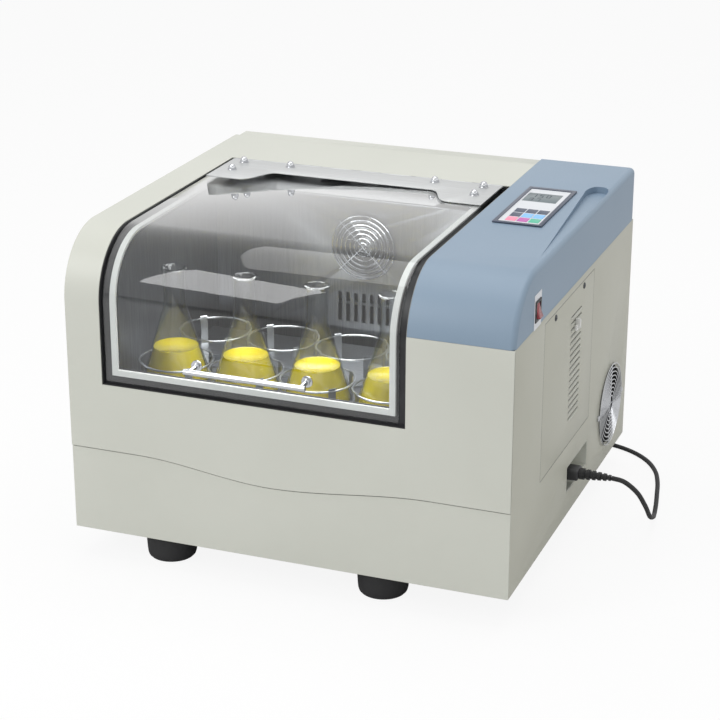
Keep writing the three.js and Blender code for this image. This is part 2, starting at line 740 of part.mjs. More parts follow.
// The metal strip along the top of the lid: two deep lobes joined by a narrow band.
function stripShape(rear) {
  const x0 = lidLeft;
  const x1 = lidRight;
  const shape = new THREE.Shape();
  const halfCurve = lobeCurve / 2;
  shape.moveTo(x0, rear);
  shape.lineTo(x0, lobeFrontY);
  shape.lineTo(x0 + lobeWidth, lobeFrontY);
  shape.bezierCurveTo(x0 + lobeWidth + halfCurve, lobeFrontY,
    x0 + lobeWidth + halfCurve, stripFrontY, x0 + lobeWidth + lobeCurve, stripFrontY);
  shape.lineTo(x1 - lobeWidth - lobeCurve, stripFrontY);
  shape.bezierCurveTo(x1 - lobeWidth - halfCurve, stripFrontY,
    x1 - lobeWidth - halfCurve, lobeFrontY, x1 - lobeWidth, lobeFrontY);
  shape.lineTo(x1, lobeFrontY);
  shape.lineTo(x1, rear);
  return shape;
}

function addHandle() {
  const half = handleSpan / 2;
  const bar = rodX(handleX - half - 8, handleX + half + 8, -handleReach, handleZ,
    handleBarRadius, 12);
  const posts = [-half, half].flatMap((dx) => [
    rodY(-handleReach, -1, handleX + dx, handleZ, 3.4, 12),
    rodY(-2, 0, handleX + dx, handleZ, 8, 16),
  ]);
  add('lid_handle', join(bar, ...posts), chrome);
}

// ---------------------------------------------------------------- chamber

function addChamber() {
  const rearWall = chamberRear + sheet;
  const outer = block(linerInset, chamberLeft - sheet, chamberRight + sheet,
    chamberFloor - sheet, rearWall);
  const inner = block(linerInset + sheet, chamberLeft, chamberRight, chamberFloor, chamberRear);
  const mouth = block(-5, sealLeft + windowMargin - 1, sealRight - windowMargin + 1,
    sealBottom + windowMargin - 1, lobeFrontY + 9);
  const holes = [
    rodZ(chamberFloor - 5, chamberFloor + 5, crankX, crankY, 20, 20),
    rodZ(chamberFloor - 5, chamberFloor + 5, idlerLeftX, idlerY, 11),
    rodZ(chamberFloor - 5, chamberFloor + 5, idlerRightX, idlerY, 11),
    rodY(chamberRear - 5, chamberRear + 5, circulationX, circulationZ, 8),
  ];
  add('chamber_liner', cut(outer, inner, mouth, ...holes), stainless);
  addDuctWall();
  addCirculation();
}

function addDuctWall() {
  const wall = box(chamberLeft + gap, chamberRight - gap, ductWallY, ductWallY + sheet,
    chamberFloor + gap, bodyTop - linerInset - sheet - gap);
  const hole = rodY(ductWallY - 5, ductWallY + 5, circulationX, circulationZ, circulationHole, 28);
  const slots = [];
  for (let i = 0; i < 7; i += 1) {
    const x = circulationX - 39 + i * 13;
    slots.push(box(x - 3, x + 3, ductWallY - 1, ductWallY + 3, 229, 276));
  }
  const rings = [];
  for (let r = circulationHole + 3; r > 8; r -= 9) {
    rings.push(alongY(ringShape(circulationX, circulationZ, r - 1.6, r),
      ductWallY - 2.6, ductWallY - 0.9, 10));
  }
  const spokes = [0, 1].map((i) => {
    const spoke = new THREE.BoxGeometry(2 * circulationHole + 8, 2, 1.8);
    spoke.rotateY((i * Math.PI) / 2 + Math.PI / 4);
    return toSolid(spoke.translate(circulationX, ductWallY - 0.2, circulationZ));
  });
  add('chamber_rear_wall', join(cut(wall, hole, ...slots), ...spokes, ...rings), stainless);
}

function addCirculation() {
  const shaftRear = chamberRear + sheet + gap + 4;
  const rotorFront = ductWallY + 8;
  const hub = rodY(rotorFront, rotorFront + 26, circulationX, circulationZ, 14, 14);
  const shaft = rodY(rotorFront + 20, shaftRear + 10, circulationX, circulationZ, 3.5, 10);
  const vanes = [];
  for (let i = 0; i < 8; i += 1) {
    const vane = new THREE.BoxGeometry(31, 24, 1.6);
    vane.rotateX(0.5);
    vane.translate(27.5, 0, 0);
    vane.rotateY((i * Math.PI) / 4);
    vanes.push(toSolid(vane.translate(circulationX, rotorFront + 13, circulationZ)));
  }
  add('circulation_rotor', join(hub, shaft, ...vanes), castIron);

  const motorFront = chamberRear + sheet + gap;
  const motor = rodY(motorFront, motorFront + 42, circulationX, circulationZ, 28, 20);
  const bore = rodY(motorFront - 1, shaftRear + 12, circulationX, circulationZ, 3.9, 10);
  add('circulation_motor', cut(motor, bore), castIron);

  const y = (ductWallY + sheet + chamberRear) / 2;
  const wall = chamberRear - gap;
  add('air_heater', wire([
    [-230, wall, 290], [-230, wall - 10, 290], [-226, y, 290], [-210, y - 3, 290],
    [-60, y - 3, 290], [80, y - 3, 290], [104, y - 3, 284], [110, y - 3, 270],
    [104, y - 3, 256], [80, y - 3, 250], [-60, y - 3, 250], [-210, y - 3, 250],
    [-226, y, 250], [-230, wall - 10, 250], [-230, wall, 250],
  ], 4, 6, 36), castIron);
}

// ---------------------------------------------------------------- drive

function addDrive() {
  add('bearing_housing', turnedRing([
    [12.5, 0], [44, 0], [44, 6], [27, 8], [27, 40], [12.5, 40],
  ], crankX, crankY, baseTop + gap), castIron);

  const throwX = crankX - orbit;
  const shaft = rodZ(baseTop + 4, chamberFloor + 6, crankX, crankY, 12, 20);
  const pulley = rodZ(pulleyLow, pulleyHigh, crankX, crankY, pulleyRadius, 36);
  const weight = rodZ(pulleyHigh + 2, pulleyHigh + 16, crankX, crankY, 60, 30)
    .intersect(box(crankX + 14, crankX + 80, crankY - 80, crankY + 80, 0, 200));
  const hub = box(crankX - 14, crankX + 16, crankY - 14, crankY + 14, pulleyHigh - 1,
    pulleyHigh + 16);
  const cap = rodZ(chamberFloor + 4, chamberFloor + 10, crankX, crankY, 24, 20);
  const pin = rodZ(chamberFloor + 9, platformTop - platformThick - 8, throwX, crankY, 7, 14);
  add('drive_crank', join(shaft, pulley, weight, hub, cap, pin), castIron);

  for (const [name, x] of [['idler_crank_left', idlerLeftX], ['idler_crank_right', idlerRightX]]) {
    add(name, join(
      rodZ(idlerPostTop - 40, chamberFloor + 6, x, idlerY, 6, 12),
      rodZ(chamberFloor + 4, chamberFloor + 10, x, idlerY, 18, 16),
      rodZ(chamberFloor + 9, platformTop - platformThick - 8, x - orbit, idlerY, 5, 12)), castIron);
  }

  const motorTop = pulleyLow - 3;
  const bore = rodZ(baseTop + 20, motorTop + 1, motorX, motorY, 5 + runningGap, 12);
  const can = rodZ(baseTop + gap, motorTop, motorX, motorY, motorRadius, 24);
  add('drive_motor', cut(can, bore), castIron);
  add('motor_pulley', join(rodZ(pulleyLow, pulleyHigh, motorX, motorY, motorPulleyRadius, 20),
    rodZ(baseTop + 24, pulleyLow + 1, motorX, motorY, 5, 12)), brushed);
  add('drive_belt', cut(
    alongZ(beltOutline(gap + 2.6), pulleyLow + 2, pulleyHigh - 2, 14),
    alongZ(beltOutline(gap), pulleyLow, pulleyHigh, 14)), rubber);
}

// The outline of a belt round both pulleys, a distance outside them.
function beltOutline(outside) {
  const dx = motorX - crankX;
  const dy = motorY - crankY;
  const between = Math.hypot(dx, dy);
  const heading = Math.atan2(dy, dx);
  const lean = Math.acos((pulleyRadius - motorPulleyRadius) / between);
  const shape = new THREE.Shape();
  shape.absarc(crankX, crankY, pulleyRadius + outside, heading + lean,
    heading - lean + 2 * Math.PI, false);
  shape.absarc(motorX, motorY, motorPulleyRadius + outside, heading - lean, heading + lean, false);
  return shape;
}

// ---------------------------------------------------------------- platform, clamps and flasks

const bossLow = chamberFloor + 12;
const platformUnder = platformTop - platformThick;

function addPlatform() {
  const { left: x0, right: x1, front: y0, rear: y1 } = platformBox;
  const plate = box(x0, x1, y0, y1, platformUnder, platformTop);
  const lips = [
    box(x0, x1, y0, y0 + 2, platformUnder - 12, platformUnder + 1),
    box(x0, x1, y1 - 2, y1, platformUnder - 12, platformUnder + 1),
  ];
  const places = [
    [crankX - orbit, crankY, 22, 7], [idlerLeftX - orbit, idlerY, 16, 5],
    [idlerRightX - orbit, idlerY, 16, 5],
  ];
  const bosses = places.map(([x, y, r]) => rodZ(bossLow, platformUnder + 1, x, y, r, 18));
  const bores = places.map(([x, y, , pin]) =>
    rodZ(bossLow - 1, platformUnder - 5, x, y, pin + runningGap, 16));
  add('platform_plate', cut(join(plate, ...lips, ...bosses), ...bores), brushed);
}

// A spring clamp: a disc, upright leaves round its edge and a spring ring that holds them in.
function clamp(x, y, inner, leaves, high) {
  const z = platformTop + gap;
  const parts = [rodZ(z, z + clampDisc, x, y, inner + leafThick, 14)];
  for (let i = 0; i < leaves; i += 1) {
    const leaf = new THREE.BoxGeometry(leafThick, 11, high);
    leaf.translate(inner + leafThick / 2, 0, high / 2);
    leaf.rotateZ(((i + 0.5) * 2 * Math.PI) / leaves);
    parts.push(toSolid(leaf.translate(x, y, z)));
  }
  const ring = new THREE.TorusGeometry(inner + leafThick + ringWire * 0.6, ringWire, 4, 14);
  parts.push(toSolid(ring.translate(x, y, z + high * 0.92)));
  return join(...parts);
}

function addClampRows() {
  const full = Array.from({ length: columns }, (_, i) => firstColumnX + i * columnPitch);
  const between = full.slice(1).map((x) => x - columnPitch / 2);
  const rows = [
    ['clamp_row_front', between, smallRowY, smallBase + 1, 4, 32],
    ['clamp_row_flasks', full, flaskRowY, flaskBase + 0.5, 4, 46],
    ['clamp_row_rear', full, rearRowY, flaskBase + 0.5, 4, 46],
  ];
  for (const [name, xs, y, inner, leaves, high] of rows) {
    const rail = box(xs[0] - 20, xs[xs.length - 1] + 20, y - 10, y + 10,
      platformTop + gap, platformTop + gap + 1.5);
    add(name, join(rail, ...xs.map((x) => clamp(x, y, inner, leaves, high))), brushed);
  }
}

// A conical flask with its liquid as one solid; the space above the liquid is open.
function flask(x, y) {
  const z = platformTop + gap + clampDisc + gap;
  const slope = (flaskBase - flaskNeck) / (flaskShoulder - 16);
  const insideAt = (h) => flaskBase - slope * (h - 16) - flaskWall;
  return lathe([
    [0, 0], [flaskBase - 9, 0], [flaskBase - 2.6, 2.6], [flaskBase, 9],
    [flaskBase - 0.4, 16], [flaskNeck + 2, flaskShoulder - 5], [flaskNeck, flaskShoulder + 4],
    [flaskNeck, flaskHeight - 7], [flaskNeck + 2.4, flaskHeight - 4],
    [flaskNeck + 2.4, flaskHeight - 1.4], [flaskNeck, flaskHeight],
    [flaskNeck - flaskWall, flaskHeight - 1], [flaskNeck - flaskWall, flaskShoulder + 3],
    [insideAt(flaskShoulder - 8), flaskShoulder - 8], [insideAt(liquidDepth), liquidDepth],
    [0, liquidDepth],
  ], x, y, z, 18);
}

function addFlasks() {
  for (let i = 0; i < columns; i += 1) {
    add(`flask_${i + 1}`, flask(firstColumnX + i * columnPitch, flaskRowY), glass);
  }
}

// ---------------------------------------------------------------- assembly

addBase();
addFeet();
addFrontPanels();
addLeftSide();
addRightSide();
addRearCover();
addControlCover();
addKeypad();
addSwitch();
addServicePanel();
addSideFan();
addInlet();
addCord();
addOpeningFrame();
addSeal();
addLid();
addChamber();
addDrive();
addPlatform();
addClampRows();
addFlasks();

const handleFront = handleReach + handleBarRadius;
shaker.position.set(-rockerReach / 2, -(bodyDepth - handleFront) / 2, 0);

export default shaker;
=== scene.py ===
"""Looks of a benchtop orbital shaker: painted sheet housing, clear lid, stainless chamber and flasks.

Sizes are written in millimetres in the housing's own coordinates: x from the middle of the housing,
y from its front face and z from the bench. They are turned into the frame's metres when a mesh is made.
"""
import logging
import math
from dataclasses import dataclass, field
from enum import Enum

import bmesh
import bpy
from mathutils import Matrix, Vector


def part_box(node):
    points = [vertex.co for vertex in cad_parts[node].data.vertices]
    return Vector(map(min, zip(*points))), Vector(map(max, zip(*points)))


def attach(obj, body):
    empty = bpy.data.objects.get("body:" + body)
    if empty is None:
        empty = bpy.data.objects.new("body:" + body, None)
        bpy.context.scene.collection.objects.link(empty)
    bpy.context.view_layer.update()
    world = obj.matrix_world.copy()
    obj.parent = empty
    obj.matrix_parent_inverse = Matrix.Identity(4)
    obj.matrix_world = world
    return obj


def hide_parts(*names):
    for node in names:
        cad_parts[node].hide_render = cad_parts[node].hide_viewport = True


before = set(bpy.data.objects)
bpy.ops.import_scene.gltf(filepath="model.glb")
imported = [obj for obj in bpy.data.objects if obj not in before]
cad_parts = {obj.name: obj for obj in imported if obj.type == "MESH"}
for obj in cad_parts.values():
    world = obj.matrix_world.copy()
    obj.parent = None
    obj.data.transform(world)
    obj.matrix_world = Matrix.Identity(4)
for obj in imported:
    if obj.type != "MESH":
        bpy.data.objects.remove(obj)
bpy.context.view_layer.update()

LOG = logging.getLogger("shaker")
OFFSET = Vector((-3.2, -292.5, 0.0))
ROW = Matrix.Scale(0.001, 4) @ Matrix.Translation(OFFSET)

TOP = 477.0
CORNER = 94.0
DEPTH = 615.0
HALF = 320.0
SEAM_HIGH = 170.5
SEAM_LOW = 152.5
SEAM_START = -218.0
SEAM_TROUGH = -20.0
SEAM_END = 210.0
SEAM_STEP = 11.0
GAP = 0.3
Point2 = tuple[float, float]
Point3 = tuple[float, float, float]


class Axis(Enum):
    """The direction a flat outline is pushed along, or a profile is turned about."""

    X = "x"
    Y = "y"
    Z = "z"


# ---------------------------------------------------------------- finishes


def add_socket(tree: bpy.types.NodeTree, name: str, kind: str, incoming: bool, value=None) -> None:
    """Adds a named socket to a node group.

    Args:
        tree: the node group.
        name: the socket's name.
        kind: Float, Color or Vector.
        incoming: True for an input.
        value: the input's default.
    """
    socket = tree.interface.new_socket(
        name, in_out="INPUT" if incoming else "OUTPUT", socket_type=f"NodeSocket{kind}")
    if value is not None:
        socket.default_value = value


def surface_group() -> bpy.types.NodeTree:
    """Builds, once, the group that gives a surface its uneven tone, gloss and fine relief.

    Returns:
        The node group, with Color, Roughness and Height outputs.
    """
    found = bpy.data.node_groups.get("surface_variation")
    if found:
        return found
    tree = bpy.data.node_groups.new("surface_variation", "ShaderNodeTree")
    add_socket(tree, "Base", "Color", True, (0.8, 0.8, 0.8, 1))
    add_socket(tree, "Tint", "Color", True, (0.7, 0.7, 0.7, 1))
    add_socket(tree, "Stretch", "Vector", True, (1, 1, 1))
    add_socket(tree, "Patch Scale", "Float", True, 6.0)
    add_socket(tree, "Grain Scale", "Float", True, 900.0)
    add_socket(tree, "Grain In Tone", "Float", True, 0.2)
    add_socket(tree, "Roughness", "Float", True, 0.5)
    add_socket(tree, "Spread", "Float", True, 0.1)
    for name, kind in (("Color", "Color"), ("Roughness", "Float"), ("Height", "Float")):
        add_socket(tree, name, kind, False)
    nodes, links = tree.nodes, tree.links
    given = nodes.new("NodeGroupInput")
    out = nodes.new("NodeGroupOutput")
    place = nodes.new("ShaderNodeTexCoord")
    stretch = nodes.new("ShaderNodeVectorMath")
    stretch.operation = "MULTIPLY"
    links.new(place.outputs["Object"], stretch.inputs[0])
    links.new(given.outputs["Stretch"], stretch.inputs[1])
    patch = nodes.new("ShaderNodeTexNoise")
    patch.inputs["Detail"].default_value = 3.0
    links.new(place.outputs["Object"], patch.inputs["Vector"])
    links.new(given.outputs["Patch Scale"], patch.inputs["Scale"])
    grain = nodes.new("ShaderNodeTexNoise")
    grain.inputs["Detail"].default_value = 2.0
    links.new(stretch.outputs[0], grain.inputs["Vector"])
    links.new(given.outputs["Grain Scale"], grain.inputs["Scale"])
    amount = nodes.new("ShaderNodeMapRange")
    amount.inputs["From Min"].default_value = 0.3
    amount.inputs["From Max"].default_value = 0.7
    blend = nodes.new("ShaderNodeMix")
    links.new(given.outputs["Grain In Tone"], blend.inputs["Factor"])
    links.new(patch.outputs["Fac"], blend.inputs["A"])
    links.new(grain.outputs["Fac"], blend.inputs["B"])
    links.new(blend.outputs["Result"], amount.inputs["Value"])
    tone = nodes.new("ShaderNodeMix")
    tone.data_type = "RGBA"
    links.new(amount.outputs["Result"], tone.inputs["Factor"])
    links.new(given.outputs["Base"], tone.inputs[6])
    links.new(given.outputs["Tint"], tone.inputs[7])
    links.new(tone.outputs[2], out.inputs["Color"])
    centred = nodes.new("ShaderNodeMath")
    centred.operation = "SUBTRACT"
    centred.inputs[1].default_value = 0.5
    links.new(grain.outputs["Fac"], centred.inputs[0])
    gloss = nodes.new("ShaderNodeMath")
    gloss.operation = "MULTIPLY_ADD"
    links.new(centred.outputs[0], gloss.inputs[0])
    links.new(given.outputs["Spread"], gloss.inputs[1])
    links.new(given.outputs["Roughness"], gloss.inputs[2])
    links.new(gloss.outputs[0], out.inputs["Roughness"])
    links.new(grain.outputs["Fac"], out.inputs["Height"])
    return tree


@dataclass(frozen=True)
class Finish:
    """An opaque finish with uneven tone, gloss and grain.

    Attributes:
        name: the material's name.
        slot: the record's material slot; not used.
        color: base colour, linear.
        tint: second colour that the base drifts to.
        roughness: middle roughness.
        spread: how far the grain moves the roughness.
        metallic: 0 or 1.
        stretch: grain scale along x, y and z, for brushing.
        patch: scale of the slow drift of tone.
        grain: scale of the fine grain.
        grain_tone: how much of the tone follows the grain.
        relief: height of the grain, in metres.
        coat: clear coat weight.
        specular: specular level.
    """

    name: str
    slot: str
    color: tuple[float, float, float]
    tint: tuple[float, float, float]
    roughness: float = 0.5
    spread: float = 0.12
    metallic: float = 0.0
    stretch: Point3 = (1.0, 1.0, 1.0)
    patch: float = 6.0
    grain: float = 900.0
    grain_tone: float = 0.3
    relief: float = 0.00004
    coat: float = 0.0
    specular: float = 0.5

    def material(self) -> bpy.types.Material:
        """Returns the finish's material, made on first use."""
        found = bpy.data.materials.get(self.name)
        if found:
            return found
        made = bpy.data.materials.new(self.name)
        made.use_nodes = True
        nodes, links = made.node_tree.nodes, made.node_tree.links
        shader = nodes["Principled BSDF"]
        group = nodes.new("ShaderNodeGroup")
        group.node_tree = surface_group()
        group.inputs["Base"].default_value = (*self.color, 1)
        group.inputs["Tint"].default_value = (*self.tint, 1)
        group.inputs["Stretch"].default_value = self.stretch
        group.inputs["Patch Scale"].default_value = self.patch
        group.inputs["Grain Scale"].default_value = self.grain
        group.inputs["Grain In Tone"].default_value = self.grain_tone
        group.inputs["Roughness"].default_value = self.roughness
        group.inputs["Spread"].default_value = self.spread
        links.new(group.outputs["Color"], shader.inputs["Base Color"])
        links.new(group.outputs["Roughness"], shader.inputs["Roughness"])
        bump = nodes.new("ShaderNodeBump")
        bump.inputs["Distance"].default_value = self.relief
        bump.inputs["Strength"].default_value = 0.6
        links.new(group.outputs["Height"], bump.inputs["Height"])
        links.new(bump.outputs["Normal"], shader.inputs["Normal"])
        shader.inputs["Metallic"].default_value = self.metallic
        shader.inputs["Coat Weight"].default_value = self.coat
        shader.inputs["Coat Roughness"].default_value = 0.12
        shader.inputs["Specular IOR Level"].default_value = self.specular
        return made


@dataclass(frozen=True)
class ClearFinish:
    """A thin clear finish: it lets light straight through and mirrors more at a glancing angle.

    Attributes:
        name: the material's name.
        slot: the record's material slot; not used.
        color: colour of what passes through, seen square on.
        edge: colour of what passes through at a glancing angle.
        ior: refractive index, for the mirrored share.
        gain: how much stronger the mirrored share is than a single face's.
        roughness: roughness of the mirrored share.
    """

    name: str
    slot: str
    color: tuple[float, float, float]
    edge: tuple[float, float, float]
    ior: float = 1.45
    gain: float = 1.0
    roughness: float = 0.03

    def material(self) -> bpy.types.Material:
        """Returns the finish's material, made on first use."""
        found = bpy.data.materials.get(self.name)
        if found:
            return found
        made = bpy.data.materials.new(self.name)
        made.use_nodes = True
        nodes, links = made.node_tree.nodes, made.node_tree.links
        nodes.remove(nodes["Principled BSDF"])
        group = nodes.new("ShaderNodeGroup")
        group.node_tree = surface_group()
        group.inputs["Patch Scale"].default_value = 14.0
        group.inputs["Grain Scale"].default_value = 30.0
        group.inputs["Roughness"].default_value = self.roughness
        group.inputs["Spread"].default_value = 0.03
        bump = nodes.new("ShaderNodeBump")
        bump.inputs["Distance"].default_value = 0.0004
        bump.inputs["Strength"].default_value = 0.25
        links.new(group.outputs["Height"], bump.inputs["Height"])
        facing = nodes.new("ShaderNodeLayerWeight")
        facing.inputs["Blend"].default_value = 0.3
        shade = nodes.new("ShaderNodeMix")
        shade.data_type = "RGBA"
        links.new(facing.outputs["Facing"], shade.inputs["Factor"])
        shade.inputs[6].default_value = (*self.color, 1)
        shade.inputs[7].default_value = (*self.edge, 1)
        through = nodes.new("ShaderNodeBsdfTransparent")
        links.new(shade.outputs[2], through.inputs["Color"])
        mirror = nodes.new("ShaderNodeBsdfGlossy")
        links.new(group.outputs["Roughness"], mirror.inputs["Roughness"])
        links.new(bump.outputs["Normal"], mirror.inputs["Normal"])
        fresnel = nodes.new("ShaderNodeFresnel")
        fresnel.inputs["IOR"].default_value = self.ior
        share = nodes.new("ShaderNodeMath")
        share.operation = "MULTIPLY"
        share.use_clamp = True
        share.inputs[1].default_value = self.gain
        links.new(fresnel.outputs["Fac"], share.inputs[0])
        side = nodes.new("ShaderNodeNewGeometry")
        outward = nodes.new("ShaderNodeMath")
        outward.operation = "SUBTRACT"
        outward.inputs[0].default_value = 1.0
        links.new(side.outputs["Backfacing"], outward.inputs[1])
        front_share = nodes.new("ShaderNodeMath")
        front_share.operation = "MULTIPLY"
        links.new(share.outputs[0], front_share.inputs[0])
        links.new(outward.outputs[0], front_share.inputs[1])
        mix = nodes.new("ShaderNodeMixShader")
        links.new(front_share.outputs[0], mix.inputs["Fac"])
        links.new(through.outputs["BSDF"], mix.inputs[1])
        links.new(mirror.outputs["BSDF"], mix.inputs[2])
        links.new(mix.outputs["Shader"], nodes["Material Output"].inputs["Surface"])
        return made


CREAM = Finish("cream_powder_coat", "cream_paint", (0.60, 0.61, 0.55), (0.57, 0.58, 0.52),
               roughness=0.42, spread=0.1, grain=700, grain_tone=0.15, relief=0.00005)
# Darker copy of the cream paint for the right side panel and the service panel: painted shade of the side
# that faces away from the lamps.
CREAM_SHADED_SIDE = Finish("cream_powder_coat_shaded_side", "cream_paint", (0.50, 0.50, 0.43), (0.47, 0.47, 0.40),
                     roughness=0.46, spread=0.1, grain=700, grain_tone=0.15, relief=0.00005)
BLUE = Finish("blue_moulding", "blue_cover", (0.235, 0.315, 0.405), (0.215, 0.295, 0.385),
              roughness=0.44, spread=0.2, grain=1500, grain_tone=0.25, relief=0.00006)
STEEL = Finish("brushed_stainless", "stainless", (0.50, 0.51, 0.52), (0.36, 0.37, 0.38),
               roughness=0.30, spread=0.18, metallic=1.0, stretch=(0.02, 1, 1), grain=900,
               grain_tone=0.7, relief=0.00001)
CHAMBER = Finish("chamber_stainless", "stainless", (0.36, 0.37, 0.385), (0.20, 0.205, 0.22),
                 roughness=0.32, spread=0.15, metallic=1.0, stretch=(1, 1, 0.03), grain=700,
                 grain_tone=0.5, relief=0.00001)
STRIP = Finish("brushed_hinge_strip", "stainless", (0.60, 0.61, 0.61), (0.50, 0.51, 0.51),
               roughness=0.42, spread=0.2, metallic=0.75, stretch=(0.02, 1, 1), grain=800,
               grain_tone=0.7, relief=0.00001)
CHROME = Finish("bright_chrome", "chrome", (0.58, 0.59, 0.61), (0.46, 0.47, 0.49),
                roughness=0.12, spread=0.06, metallic=1.0, grain=300, relief=0.000005)
IRON = Finish("painted_iron", "cast_iron", (0.10, 0.105, 0.11), (0.07, 0.075, 0.08),
              roughness=0.6, metallic=0.3, grain=400, relief=0.0001)
BLACK = Finish("black_moulding", "black_plastic", (0.014, 0.014, 0.016), (0.02, 0.02, 0.022),
               roughness=0.42, grain=1200, relief=0.00004)
RUBBER = Finish("black_rubber", "rubber", (0.012, 0.012, 0.013), (0.022, 0.022, 0.023),
                roughness=0.68, grain=900, relief=0.00006)
SEAL = Finish("white_seal", "seal", (0.78, 0.78, 0.76), (0.70, 0.70, 0.68),
              roughness=0.6, grain=500, relief=0.00006)
SLATE = Finish("slate_film", "keypad", (0.035, 0.05, 0.085), (0.045, 0.06, 0.10),
               roughness=0.34, grain=1500, relief=0.00002)
FILM = Finish("white_film", "keypad", (0.72, 0.74, 0.77), (0.66, 0.68, 0.72),
              roughness=0.36, grain=1500, relief=0.00002)
LCD = Finish("display_glass", "keypad", (0.13, 0.165, 0.18), (0.15, 0.19, 0.205),
             roughness=0.3, grain=60, relief=0.000005)
INK = Finish("display_ink", "keypad", (0.012, 0.03, 0.05), (0.02, 0.04, 0.06), roughness=0.4)
RED = Finish("red_rocker", "red_plastic", (0.30, 0.008, 0.02), (0.25, 0.007, 0.018),
             roughness=0.24, grain=600, relief=0.00001, coat=0.4)
BOARD = Finish("green_board", "board", (0.02, 0.12, 0.05), (0.015, 0.09, 0.04), roughness=0.4)
LIQUID = Finish("yellow_liquid", "flask_glass", (0.76, 0.62, 0.004), (0.60, 0.44, 0.003),
                roughness=0.12, grain=40, relief=0.00001, coat=0.8)
ACRYLIC = ClearFinish("clear_acrylic", "clear_lid", (0.98, 0.99, 0.99), (0.93, 0.95, 0.95), 1.49, 1.9)
GLASS = ClearFinish("borosilicate", "flask_glass", (0.985, 0.99, 0.985), (0.74, 0.77, 0.76), 1.45, 1.8)

KEY_COLORS = {
    "key_1_1": (0.02, 0.035, 0.075), "key_1_2": (0.02, 0.035, 0.075), "key_1_3": (0.02, 0.035, 0.075),
    "key_2_1": (0.02, 0.035, 0.075), "key_2_2": (0.18, 0.45, 0.78), "key_2_3": (0.18, 0.45, 0.78),
    "key_3_1": (0.80, 0.22, 0.34), "key_3_2": (0.45, 0.07, 0.35), "key_3_3": (0.05, 0.42, 0.27),
}
KEY_SLOTS = {
    "key_2_2": "key_blue", "key_2_3": "key_blue", "key_3_1": "key_pink",
    "key_3_2": "key_magenta", "key_3_3": "key_green",
}


# ---------------------------------------------------------------- mesh making


def publish(name: str, bm: bmesh.types.BMesh, finish: Finish | ClearFinish, body: str,
            replaces: tuple[str, ...] = (), smooth: float = 32.0) -> bpy.types.Object:
    """Turns a mesh in housing millimetres into a finished object that rides on a body.

    Args:
        name: the object's name.
        bm: the mesh, which is used up.
        finish: its finish.
        body: the body it moves with.
        replaces: the solids it stands for.
        smooth: edges sharper than this many degrees stay crisp.

    Returns:
        The object.
    """
    bmesh.ops.recalc_face_normals(bm, faces=bm.faces)
    mesh = bpy.data.meshes.new(name)
    bm.to_mesh(mesh)
    bm.free()
    mesh.transform(ROW)
    for polygon in mesh.polygons:
        polygon.use_smooth = True
    mesh.set_sharp_from_angle(angle=math.radians(smooth))
    made = bpy.data.objects.new(name, mesh)
    bpy.context.scene.collection.objects.link(made)
    mesh.materials.append(finish.material())
    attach(made, body)
    if replaces:
        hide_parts(*replaces)
    LOG.info("%s: %d faces on %s", name, len(mesh.polygons), body)
    return made


def dress(node: str, finish: Finish | ClearFinish, bevel: float = 0.4) -> None:
    """Gives a solid its finish and slightly rounded edges.

    Args:
        node: the solid's name.
        finish: its finish.
        bevel: width of the rounding, in millimetres; 0 for none.
    """
    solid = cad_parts[node]
    solid.data.materials.clear()
    solid.data.materials.append(finish.material())
    for polygon in solid.data.polygons:
        polygon.use_smooth = True
    weld = solid.modifiers.new("weld", "WELD")
    weld.merge_threshold = 0.00001
    if bevel:
        rounding = solid.modifiers.new("rounding", "BEVEL")
        rounding.width = bevel / 1000
        rounding.segments = 2
        rounding.limit_method = "ANGLE"
        rounding.angle_limit = math.radians(40)
        rounding.harden_normals = True
    crisp = solid.modifiers.new("crisp", "EDGE_SPLIT")
    crisp.split_angle = math.radians(32)
    LOG.info("%s: %s", node, finish.name)


def joined(*parts: bmesh.types.BMesh) -> bmesh.types.BMesh:
    """Collects meshes, which are used up, into one.

    Returns:
        The collected mesh.
    """
    whole = bmesh.new()
    for part in parts:
        held = bpy.data.meshes.new("held")
        part.to_mesh(held)
        part.free()
        whole.from_mesh(held)
        bpy.data.meshes.remove(held)
    return whole


def place(axis: Axis, a: float, b: float, along: float) -> Vector:
    """Returns the point of a flat outline, (a, b), at a distance along its axis."""
    if axis is Axis.X:
        return Vector((along, a, b))
    if axis is Axis.Y:
        return Vector((a, along, b))
    return Vector((a, b, along))


def prism(outline: list[Point2], axis: Axis, low: float, high: float,
          rounding: float = 0.0, segments: int = 2) -> bmesh.types.BMesh:
    """Pushes an outline along an axis into a closed solid.

    Args:
        outline: corners in the plane across the axis.
        axis: the direction.
        low: where it starts.
        high: where it ends.
        rounding: radius of its edges sharper than 40 degrees, or 0.
        segments: segments of the rounding.

    Returns:
        The mesh.
    """
    bm = bmesh.new()
    near = [bm.verts.new(place(axis, a, b, low)) for a, b in outline]
    far = [bm.verts.new(place(axis, a, b, high)) for a, b in outline]
    bm.faces.new(near)
    bm.faces.new(list(reversed(far)))
    for i in range(len(outline)):
        j = (i + 1) % len(outline)
        bm.faces.new((near[i], far[i], far[j], near[j]))
    bmesh.ops.recalc_face_normals(bm, faces=bm.faces)
    if rounding:
        round_edges(bm, rounding, segments)
    return bm


def round_edges(bm: bmesh.types.BMesh, width: float, segments: int = 2, angle: float = 40.0) -> None:
    """Rounds a mesh's edges that are sharper than an angle in degrees."""
    bm.normal_update()
    sharp = [e for e in bm.edges if e.is_manifold and e.calc_face_angle(0.0) > math.radians(angle)]
    bmesh.ops.bevel(bm, geom=sharp, offset=width, segments=segments, profile=0.5,
                    affect="EDGES", clamp_overlap=True)


def block(x0: float, x1: float, y0: float, y1: float, z0: float, z1: float,
          rounding: float = 0.4, segments: int = 2) -> bmesh.types.BMesh:
    """Makes a box with rounded edges between two corners."""
    return prism([(x0, y0), (x1, y0), (x1, y1), (x0, y1)], Axis.Z, z0, z1, rounding, segments)


